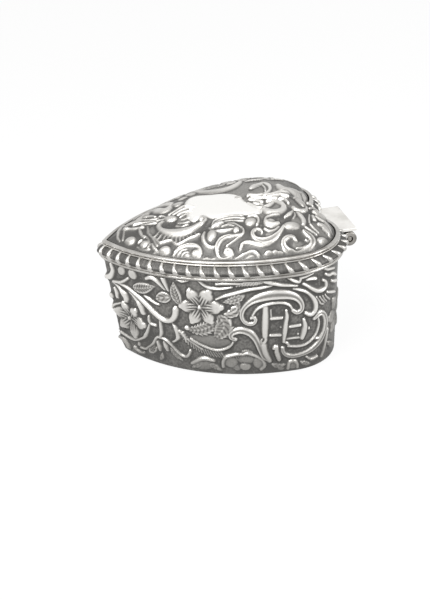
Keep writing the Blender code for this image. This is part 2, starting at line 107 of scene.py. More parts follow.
def outline(along, offset):  # right half: x, y at a length from the point, grown by offset
    along = np.asarray(along, float)
    offset = np.broadcast_to(np.asarray(offset, float), along.shape)
    sideR, pointR, pointY, leavePoint = arcTerms(offset)
    arc = np.clip(np.searchsorted(arcEnds, along), 0, 3)
    share = within((along - np.r_[0.0, arcEnds][arc]) / arcSpans[arc])
    down = -math.pi / 2
    cleftStart = leaveLobe - math.pi
    onArc = [arc == 0, arc == 1, arc == 2]
    angle = np.select(
        onArc,
        [
            down + (leavePoint - down) * share,
            leavePoint + (leaveSide - leavePoint) * share,
            leaveSide + (leaveLobe - leaveSide) * share,
        ],
        cleftStart + (down - cleftStart) * share,
    )
    cleftR = heart["cleftRadius"] - offset
    radius = np.select(onArc, [pointR, sideR, heart["lobeRadius"] + offset], cleftR)
    middleX = np.select(onArc, [0.0, sideCentre[0], lobeCentre[0]], 0.0)
    middleY = np.select(onArc, [pointY, sideCentre[1], lobeCentre[1]], cleftY)
    return middleX + radius * np.cos(angle), middleY + radius * np.sin(angle)


def fullOutline(offset, perSide=150):  # closed loop, point to cleft and back on the other side
    along = np.linspace(0.0, halfLength, perSide + 1)
    x, y = outline(along, offset)
    x[0] = x[-1] = 0.0
    return np.r_[x, -x[-2:0:-1]], np.r_[y, y[-2:0:-1]]


# Shared making of meshes
def makePiece(name, points, faces, material, body, nodes, sharp=None):
    mesh = bpy.data.meshes.new(name)
    mesh.from_pydata(np.asarray(points) * mm, [], faces)
    work = bmesh.new()
    work.from_mesh(mesh)
    bmesh.ops.recalc_face_normals(work, faces=work.faces)
    work.to_mesh(mesh)
    work.free()
    mesh.shade_smooth()
    if sharp:
        mesh.set_sharp_from_angle(angle=math.radians(sharp))
    return addPiece(name, mesh, material, body, nodes)


def addObject(name, data):
    thing = bpy.data.objects.new(name, data)
    bpy.context.scene.collection.objects.link(thing)
    return thing


def addPiece(name, mesh, material, body, nodes):
    piece = addObject(name, mesh)
    mesh.materials.clear()
    mesh.materials.append(material)
    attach(piece, body)
    if nodes:
        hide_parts(*nodes)
    return piece


def gridFaces(rows, columns, closedRows=False, closedColumns=False):
    lastRow = rows if closedRows else rows - 1
    lastColumn = columns if closedColumns else columns - 1
    i, j = np.meshgrid(np.arange(lastRow), np.arange(lastColumn), indexing="ij")
    nextI = (i + 1) % rows
    nextJ = (j + 1) % columns
    corners = ((i, j), (i, nextJ), (nextI, nextJ), (nextI, j))
    quads = np.stack([row * columns + column for row, column in corners], -1)
    return quads.reshape(-1, 4).tolist()


def bothSides(right, sign=1):  # columns of the right half, then those of the left on the way back
    return np.concatenate([right, sign * right[:, -2:0:-1]], 1)


def setWornAndShaded(piece, values):  # how far each point is rubbed bright, with painted highlight and shade mixed in, for the material
    shade = piece.data.attributes.new("wornAndShaded", "FLOAT", "POINT")
    shade.data.foreach_set("value", np.ravel(values).astype(np.float32))


def makePrism(name, plan, floor, top, material, body, nodes, sharp):
    count = len(plan)
    points = [(x, y, z) for z in (floor, top) for x, y in plan]
    faces = gridFaces(2, count, closedColumns=True)
    faces.append(list(range(count)))
    faces.append(list(range(count, 2 * count)))
    return makePiece(name, points, faces, material, body, nodes, sharp)


def makeRing(name, profile, material, body, nodes, perSide=150, sharp=40):
    loops = [fullOutline(offset, perSide) for offset, z in profile]
    points = [np.stack([x, y, np.full(len(x), z)], -1) for (x, y), (offset, z) in zip(loops, profile)]
    faces = gridFaces(len(profile), len(points[0]), closedRows=True, closedColumns=True)
    return makePiece(name, np.concatenate(points), faces, material, body, nodes, sharp)


def roundedProfile(profile, radius, steps=4):  # softens every corner of a closed section
    soft = []
    count = len(profile)
    for i in range(count):
        corner = np.array(profile[i])
        before = np.array(profile[i - 1]) - corner
        after = np.array(profile[(i + 1) % count]) - corner
        cut = min(radius, np.linalg.norm(before) * 0.45, np.linalg.norm(after) * 0.45)
        first = corner + before / np.linalg.norm(before) * cut
        last = corner + after / np.linalg.norm(after) * cut
        for t in np.linspace(0.0, 1.0, steps):
            soft.append(tuple((1 - t) ** 2 * first + 2 * t * (1 - t) * corner + t**2 * last))
    return soft


# Materials
def linearColour(hexCode):
    parts = [int(hexCode[i : i + 2], 16) / 255 for i in (1, 3, 5)]
    return tuple(p / 12.92 if p <= 0.04045 else ((p + 0.055) / 1.055) ** 2.4 for p in parts) + (1.0,)


def addNode(tree, kind, inputs=None, links=None, **settings):
    node = tree.nodes.new(kind)
    for key, value in settings.items():
        setattr(node, key, value)
    for key, value in (inputs or {}).items():
        node.inputs[key].default_value = value
    for key, socket in (links or {}).items():
        tree.links.new(socket, node.inputs[key])
    return node


def addMath(tree, operation, inputs, links, **settings):
    return addNode(tree, "ShaderNodeMath", inputs, links, operation=operation, **settings).outputs[0]


def addRange(tree, value, toMin, toMax, fromMin=0.0, fromMax=1.0):
    limits = {"From Min": fromMin, "From Max": fromMax, "To Min": toMin, "To Max": toMax}
    return addNode(tree, "ShaderNodeMapRange", limits, {"Value": value}).outputs["Result"]


def addBump(tree, shader, inputs, links):
    bump = addNode(tree, "ShaderNodeBump", inputs, links)
    tree.links.new(bump.outputs["Normal"], shader.inputs["Normal"])


def setRamp(ramp, stops):  # places along the ramp, and their colours
    elements = ramp.color_ramp.elements
    for element, (spot, tone) in zip(elements, (stops[0], stops[-1])):
        element.position = spot
        element.color = linearColour(tone)
    for spot, tone in stops[1:-1]:
        elements.new(spot).color = linearColour(tone)


def startMaterial(name):
    material = bpy.data.materials.new(name)
    material.use_nodes = True
    tree = material.node_tree
    shader = tree.nodes["Principled BSDF"]
    shader.inputs["Metallic"].default_value = 1.0
    return material, tree, shader


embossedLook = {
    "recess": "#5D5C5A",  # sulphide tarnish left in the ground
    "middle": "#9C9A96",
    "raised": "#E2E0DC",  # hand-rubbed tops
    "polished": "#F8F7F4",  # burnished shield
    "stops": (0.08, 0.45, 0.86, 1.0),  # how far rubbed, for these four colours
    "tarnishMm": 7.0,
    "tarnishSwing": 0.1,
    "mottleMm": 0.55,
    "mottleSwing": 0.07,
    "stainDetail": 4.0,
    "stainRange": (0.3, 0.7),  # part of the noise that is used
    "stainHold": 1.08,  # stains fade towards this level
    "roughRecess": 0.5,
    "roughRaised": 0.33,
    "stippleMm": 0.45,  # punch marks of the matted ground
    "stippleDepth": 0.00008,
    "stippleStrength": (0.25, 0.05),  # in the ground, on the tops
}


# Stamped sterling sheet, tarnished in the hollows and rubbed bright on top, with painted highlight and
# shade carried in the same level
def makeEmbossedSilver(name, look):
    material, tree, shader = startMaterial(name)
    place = addNode(tree, "ShaderNodeTexCoord").outputs["Object"]
    # per-point level: rubbed wear and tarnish, with painted highlight and shade
    wornAndShaded = addNode(tree, "ShaderNodeAttribute", attribute_name="wornAndShaded").outputs["Fac"]
    drifts = []
    for stain in ("tarnish", "mottle"):
        size = {"Scale": 1 / (look[stain + "Mm"] * mm), "Detail": look["stainDetail"]}
        cloud = addNode(tree, "ShaderNodeTexNoise", size, {"Vector": place})
        swing = look[stain + "Swing"]
        drifts.append(addRange(tree, cloud.outputs["Fac"], -swing, swing, *look["stainRange"]))
    stain = addMath(tree, "ADD", {}, {0: drifts[0], 1: drifts[1]})
    dark = addMath(tree, "SUBTRACT", {0: look["stainHold"]}, {1: wornAndShaded})
    held = addMath(tree, "MULTIPLY", {}, {0: stain, 1: dark})
    level = addMath(tree, "ADD", {}, {0: wornAndShaded, 1: held}, use_clamp=True)
    ramp = addNode(tree, "ShaderNodeValToRGB", {}, {"Fac": level})
    tones = [look[key] for key in ("recess", "middle", "raised", "polished")]
    setRamp(ramp, list(zip(look["stops"], tones)))
    tree.links.new(ramp.outputs["Color"], shader.inputs["Base Color"])
    rough = addRange(tree, level, look["roughRecess"], look["roughRaised"])
    tree.links.new(rough, shader.inputs["Roughness"])
    size = {"Scale": 1 / (look["stippleMm"] * mm)}
    stipple = addNode(tree, "ShaderNodeTexVoronoi", size, {"Vector": place})
    strength = addRange(tree, level, *look["stippleStrength"])
    marks = {"Height": stipple.outputs["Distance"], "Strength": strength}
    addBump(tree, shader, {"Distance": look["stippleDepth"]}, marks)
    return material


plainLook = {
    "clean": "#C6C4C0",
    "dull": "#9B9893",
    "stops": (0.32, 0.6),
    "rough": 0.26,
    "roughRise": 0.12,  # where dull
    "roughFall": 0.06,  # where clean
    "cloudMm": 5.0,
    "cloudDetail": 5.0,
    "scratchMm": 0.35,
    "scratchDraw": (1.0, 0.15, 1.0),
    "scratchDepth": 0.00002,
    "scratchDetail": 2.0,
    "scratchStrength": 0.25,
}


def makePlainSilver(name, look):  # planished and polished silver with soft handling wear
    material, tree, shader = startMaterial(name)
    place = addNode(tree, "ShaderNodeTexCoord").outputs["Object"]
    size = {"Scale": 1 / (look["cloudMm"] * mm), "Detail": look["cloudDetail"]}
    cloud = addNode(tree, "ShaderNodeTexNoise", size, {"Vector": place}).outputs["Fac"]
    ramp = addNode(tree, "ShaderNodeValToRGB", {}, {"Fac": cloud})
    setRamp(ramp, list(zip(look["stops"], (look["dull"], look["clean"]))))
    tree.links.new(ramp.outputs["Color"], shader.inputs["Base Color"])
    rough = addRange(tree, cloud, look["rough"] + look["roughRise"], look["rough"] - look["roughFall"])
    tree.links.new(rough, shader.inputs["Roughness"])
    drawn = addNode(tree, "ShaderNodeMapping", {"Scale": look["scratchDraw"]}, {"Vector": place})
    size = {"Scale": 1 / (look["scratchMm"] * mm), "Detail": look["scratchDetail"]}
    scratch = addNode(tree, "ShaderNodeTexNoise", size, {"Vector": drawn.outputs["Vector"]})
    depth = {"Distance": look["scratchDepth"], "Strength": look["scratchStrength"]}
    addBump(tree, shader, depth, {"Height": scratch.outputs["Fac"]})
    return material


embossedSilver = makeEmbossedSilver("embossedTarnishedSilver", embossedLook)
plainSilver = makePlainSilver("polishedSheetSilver", plainLook)
innerLook = dict(plainLook, clean="#C9C6C0", dull="#A29F99", rough=0.34)
innerSilver = makePlainSilver("satinInnerSilver", innerLook)
# darker copy of the plain silver: painted shade on the knuckles and body leaf under the lid leaf
knuckleLook = dict(plainLook, clean="#A3A09B", dull="#6B6965", rough=0.36)
knuckleSilver = makePlainSilver("shadedHingeSilver", knuckleLook)
# lighter copy of the plain silver: painted light on the lid leaf's upturned top
plateLook = dict(plainLook, clean="#F0EEEA", dull="#D8D6D1", rough=0.32)
plateSilver = makePlainSilver("litPlateSilver", plateLook)
print("materials made")


# Relief: every motif lifts the sheet where it lies, in millimetres on the unrolled surface
def splinePath(points, perSpan=10):
    p = np.asarray(points, float)
    p = np.vstack([2 * p[0] - p[1], p, 2 * p[-1] - p[-2]])
    t = np.linspace(0.0, 1.0, perSpan, endpoint=False)[:, None]
    spans = []
    for a, b, c, d in zip(p[:-3], p[1:-2], p[2:-1], p[3:]):
        bend = (2 * a - 5 * b + 4 * c - d) * t**2 + (3 * b - a - 3 * c + d) * t**3
        spans.append(0.5 * (2 * b + (c - a) * t + bend))
    return np.vstack(spans + [p[-2:-1]])


def newField(u, v):
    return {"u": u.ravel(), "v": v.ravel(), "h": np.zeros(u.size)}


# Points of the field near a path, with how far along it each lies and on which side at what distance
def measure(field, points, reach):
    path = splinePath(points)
    low = path.min(0) - reach
    high = path.max(0) + reach
    u, v = field["u"], field["v"]
    picked = np.nonzero((u > low[0]) & (u < high[0]) & (v > low[1]) & (v < high[1]))[0]
    q = np.stack([u[picked], v[picked]], -1)
    start, span = path[:-1], np.diff(path, axis=0)
    lengths = np.linalg.norm(span, axis=1)
    runs = np.r_[0.0, np.cumsum(lengths)]
    best = np.full(len(q), 1e9)
    share = np.zeros(len(q))
    signed = np.zeros(len(q))
    for k in range(len(span)):
        rel = q - start[k]
        t = within(rel @ span[k] / max(lengths[k] ** 2, 1e-9))
        gap = rel - t[:, None] * span[k]
        distance = np.hypot(gap[:, 0], gap[:, 1])
        side = np.sign(span[k][0] * rel[:, 1] - span[k][1] * rel[:, 0])
        closer = distance < best
        best[closer] = distance[closer]
        share[closer] = ((runs[k] + t * lengths[k]) / runs[-1])[closer]
        signed[closer] = (distance * side)[closer]
    return picked, share, signed


def lift(field, picked, height):
    field["h"][picked] = np.maximum(field["h"][picked], height)


def along(values, share):
    values = np.atleast_1d(np.asarray(values, float))
    return np.interp(share, np.linspace(0.0, 1.0, len(values)), values) if len(values) > 1 else values[0]


# The photo's camera, used to place what was picked out on the photo and to look at the finished box
view = {
    "azimuth": 81.66,
    "elevation": 26.29,
    "roll": -4.92,
    "distance": 0.2844,
    "target": (0.0, -0.0016, 0.01147),
    "focalPixels": 991.9,
    "frame": (430, 600),
    "sensor": 36.0,
    "clip": (0.01, 20.0),
    "probe": 2.0,  # pixels to each side of a path, to find the scale there
    "nearest": 6,  # points of the surface that a pixel is placed between
}


def wayTo(azimuth, elevation):  # unit step from the middle to what stands round it, in degrees
    a, e = math.radians(azimuth), math.radians(elevation)
    return np.array([math.sin(a) * math.cos(e), -math.cos(a) * math.cos(e), math.sin(e)])


def cameraAxes():  # right, up and back of the camera, and where it stands
    a, r = math.radians(view["azimuth"]), math.radians(view["roll"])
    back = wayTo(view["azimuth"], view["elevation"])
    level = np.array([math.cos(a), math.sin(a), 0.0])
    up = np.cross(back, level)
    right = level * math.cos(r) + up * math.sin(r)
    eye = np.array(view["target"]) + back * view["distance"]
    return right, up * math.cos(r) - level * math.sin(r), back, eye


def seenPixels(points):  # where the photo shows points given in millimetres
    right, up, back, eye = cameraAxes()
    away = points * mm - eye
    scale = -view["focalPixels"] / (away @ back)
    middleX, middleY = (size / 2 for size in view["frame"])
    return np.stack([middleX + scale * (away @ right), middleY - scale * (away @ up)], -1)


def makeTracer(points, spots):  # from pixels to places on a surface's own flat drawing
    normal = np.cross(np.gradient(points, axis=1), np.gradient(points, axis=0))
    normal = normal * np.sign(np.sum(normal * (points - heart["inside"]), -1, keepdims=True))
    facing = np.sum(normal * (cameraAxes()[3] / mm - points), -1) > 0
    seen = seenPixels(points[facing])
    places = spots[facing]

    def place(pixel):
        gap = np.hypot(seen[:, 0] - pixel[0], seen[:, 1] - pixel[1])
        nearest = np.argpartition(gap, view["nearest"])[: view["nearest"]]
        weight = 1 / (gap[nearest] + 0.01)
        return weight @ places[nearest] / weight.sum()

    return lambda pixels: np.array([place(pixel) for pixel in np.atleast_2d(pixels)])


def unitRows(rows):
    return rows / (np.linalg.norm(rows, axis=1, keepdims=True) + 1e-9)


leastStroke, mostStroke = 0.24, 1.6  # half widths in millimetres


def traceStroke(tracer, pixels, widths):  # path and half widths in millimetres
    pixels = np.array(pixels, float)
    widths = along(widths, np.linspace(0.0, 1.0, len(pixels)))
    heading = unitRows(np.gradient(pixels, axis=0))
    probe = np.stack([-heading[:, 1], heading[:, 0]], -1) * view["probe"]
    path = tracer(pixels)
    spread = (tracer(pixels + probe) - tracer(pixels - probe)) / (2 * view["probe"])
    way = unitRows(np.gradient(path, axis=0))
    across = np.abs(spread[:, 0] * way[:, 1] - spread[:, 1] * way[:, 0])
    return path, np.clip(across * widths, leastStroke, mostStroke)


def traceBud(tracer, centre, size):  # centre, half sizes and turn in millimetres and degrees
    centre = np.array(centre, float)
    reaches = np.diag(np.array(size, float))
    sideways, upright = ((tracer(centre + reach) - tracer(centre - reach))[0] / 2 for reach in reaches)
    wide = np.hypot(*sideways)
    tall = abs(sideways[0] * upright[1] - sideways[1] * upright[0]) / wide
    turn = math.degrees(math.atan2(sideways[1], sideways[0]))
    return tracer(centre)[0], (wide, tall), turn


searchMargin = 1.1  # forms are looked for a little past their half width
stemForm = {"back": 0.75, "thinnest": 0.35, "perWidth": 0.85, "fullest": 1.1}


def drawStem(field, points, radii, height):  # round-backed stroke, lower where thin
    picked, share, signed = measure(field, points, np.max(radii) * searchMargin)
    radius = along(radii, share)
    across = np.abs(signed) / radius
    fullness = np.minimum(stemForm["thinnest"] + stemForm["perWidth"] * radius, stemForm["fullest"])
    top = within(1 - across**2) ** stemForm["back"] * height * fullness
    lift(field, picked, np.where(across < 1, top, 0.0))


scrollForm = {"rim": 0.58, "rimWidth": 0.3}  # shares of the half width


def drawBand(field, points, radii, height, ridge, lean):  # scroll with a rounded rim along each edge
    picked, share, signed = measure(field, points, np.max(radii) * searchMargin)
    place = signed / along(radii, share)
    across = np.abs(place)
    edge = np.sqrt(within(1 - across**4))
    rim, rimWidth = scrollForm["rim"], scrollForm["rimWidth"]
    left, right = (np.exp(-(((place - spot) / rimWidth) ** 2)) for spot in (rim, -rim))
    rims = left + (1 - lean) * right
    lift(field, picked, np.where(across < 1, edge * (height - ridge + ridge * rims), 0.0))


leafForm = {
    "outline": (0.02, 0.97, 0.85),  # start, run and bend of the sine that widens and narrows it
    "middle": 0.7,
    "rimRise": 0.34,
    "rim": 0.84,
    "rimWidth": 0.2,
    "veinSlope": 1.5,
    "veinDepth": 0.22,
    "veinEnd": 0.9,
    "ribRise": 0.2,
    "ribWidth": 0.24,
}


def drawLeaf(field, points, width, height, veins, teeth):  # chased leaf: raised edge, rib and veins
    picked, share, signed = measure(field, points, width * searchMargin)
    start, run, bend = leafForm["outline"]
    shape = np.sin(math.pi * within(start + run * share) ** bend)
    shape = shape * (1 - teeth * (veins * share % 1.0))
    radius = np.maximum(width * shape, 0.02)
    across = np.abs(signed) / radius
    rim = np.exp(-(((across - leafForm["rim"]) / leafForm["rimWidth"]) ** 2))
    lowEnds = within(0.3 + 1.2 * shape)
    body = height * (leafForm["middle"] + leafForm["rimRise"] * rim) * lowEnds
    wave = np.cos(2 * math.pi * (veins * share - leafForm["veinSlope"] * np.abs(signed) / width))
    inside = within((leafForm["veinEnd"] - across) * 5)
    body -= leafForm["veinDepth"] * height * within(0.1 + wave) * inside
    body += leafForm["ribRise"] * height * np.exp(-((np.abs(signed) / leafForm["ribWidth"]) ** 2))
    edge = np.sqrt(within(1 - across**8))
    lift(field, picked, np.where(across < 1, body * edge, 0.0))


flower = {
    "fullness": 0.36,
    "boss": 0.62,
    "bossHeight": 0.85,
    "eye": 0.7,
    "outline": (0.05, 0.88, 1.45, 0.62),  # start, run, bend and bluntness of a petal
    "cup": (0.34, 0.66),  # height at the eye, and its rise from there
    "linePitch": 0.8,
    "lineDepth": 0.75,
}


def drawFlower(field, centre, radii, angles, height):  # cupped petals with chased lines, and a boss
    first, run, bend, blunt = flower["outline"]
    low, rise = flower["cup"]
    for angle, radius in zip(angles, radii):
        way = np.array([math.cos(math.radians(angle)), math.sin(math.radians(angle))])
        start = np.asarray(centre, float) + way * flower["eye"]
        tip = np.asarray(centre, float) + way * radius
        width = radius * flower["fullness"]
        picked, share, signed = measure(field, [start, (start + tip) / 2, tip], width * 1.2)
        shape = np.sin(math.pi * within(first + run * share) ** bend) ** blunt
        across = np.abs(signed) / np.maximum(width * shape, 0.02)
        cup = low + rise * within(share * 1.5 - 0.1)
        body = np.sqrt(within(1 - across**2.4)) * height * cup
        lines = within(np.cos(2 * math.pi * (signed / flower["linePitch"] + 0.5)) + 0.2)
        lines *= within(1.4 - 2.2 * share) * within(share * 5)
        body -= flower["lineDepth"] * height * lines
        lift(field, picked, np.where(across < 1, body, 0.0))
    drawBud(field, centre, (flower["boss"], flower["boss"]), 0.0, height * flower["bossHeight"])


def drawBud(field, centre, size, turn, height):  # plain rounded boss
    c, s = math.cos(math.radians(turn)), math.sin(math.radians(turn))
    du = field["u"] - centre[0]
    dv = field["v"] - centre[1]
    reach = np.hypot((du * c + dv * s) / size[0], (-du * s + dv * c) / size[1])
    picked = np.nonzero(reach < 1)[0]
    lift(field, picked, height * np.sqrt(1 - reach[picked] ** 2) ** 0.8)


def pathStops(points, pitch):  # places at an even pitch along a path, and its direction at each
    path = splinePath(points)
    steps = np.diff(path, axis=0)
    runs = np.r_[0.0, np.cumsum(np.linalg.norm(steps, axis=1))]
    for run in np.arange(pitch / 2, runs[-1], pitch):
        step = steps[np.searchsorted(runs, run) - 1]
        place = np.array([np.interp(run, runs, path[:, 0]), np.interp(run, runs, path[:, 1])])
        yield place, math.atan2(step[1], step[0])


def drawBeads(field, points, pitch, radius, height):  # row of bosses along a path
    for place, heading in pathStops(points, pitch):
        drawBud(field, place, (radius, radius), 0.0, height)


fringeForm = {"tip": 0.75, "height": 0.85}


def drawFringe(field, points, pitch, length, lean, radius):  # short strokes that lean off a path
    for start, heading in pathStops(points, pitch):
        turn = heading + math.radians(lean)
        tip = start + np.array([math.cos(turn), math.sin(turn)]) * length
        drawStem(field, [start, tip], (radius, radius * fringeForm["tip"]), fringeForm["height"])


relief = {
    "skirt": 0.8,  # share of a form's height that its flanks keep
    "skirtPasses": 30,
    "finePasses": 8,
    "broadPasses": 40,
    "matting": 0.02,  # usual height of the punch marks
    "mattingLimits": (-0.2, 0.3),
    "mattingFade": 0.35,  # none on what stands this high
    "mattingBroad": 6,
}
wearAndShading = {
    "ground": 0.22,
    "tops": 0.5,
    "topsPower": 1.2,
    "lowest": 0.05,
    "span": 0.88,
    "fineStep": 0.1,
    "broadStep": 0.35,
    "edges": 0.22,  # for a full step up or down, fine or broad: painted highlight on crests, painted shade in grooves and beside forms
    "most": 0.9,
}


def skirted(height, closed=False):  # sheet stretched over the punch: soft flanks round every form
    return np.maximum(height, relief["skirt"] * softened(height, relief["skirtPasses"], closed))


def softened(grid, passes, closed=False):  # neighbour averaging
    out = grid.copy()
    for _ in range(passes):
        sides = np.pad(out, ((0, 0), (1, 1)), "wrap" if closed else "edge")
        ends = np.pad(out, ((1, 1), (0, 0)), "edge")
        out = 0.5 * out + 0.125 * (sides[:, :-2] + sides[:, 2:] + ends[:-2] + ends[2:])
    return out


def wornAndShadedLevel(height, closed=False):  # bright on what stands out, dark in what lies low: rubbed tops and tarnished ground, with painted highlight and shade from the steps
    fine = (height - softened(height, relief["finePasses"], closed)) / wearAndShading["fineStep"]
    broad = (height - softened(height, relief["broadPasses"], closed)) / wearAndShading["broadStep"]
    level = within((height - wearAndShading["lowest"]) / wearAndShading["span"])
    wornAndShaded = wearAndShading["ground"] + wearAndShading["tops"] * level ** wearAndShading["topsPower"]
    # painted highlight on crests, painted shade in grooves and beside forms
    for step in (broad, fine):
        wornAndShaded = wornAndShaded + wearAndShading["edges"] * np.clip(step, -1.0, 1.0)
    return np.clip(wornAndShaded, 0.0, wearAndShading["most"])


def chasedGround(height, seed, size):  # matted ground between the motifs, uneven from the punches
    punches = np.random.default_rng(seed).uniform(-1.0, 1.0, height.shape)
    matted = softened(punches, size, True) - softened(punches, size * relief["mattingBroad"], True)
    matted *= relief["matting"] / np.std(matted)
    low = within(1 - height / relief["mattingFade"])
    return height + np.clip(matted, *relief["mattingLimits"]) * low


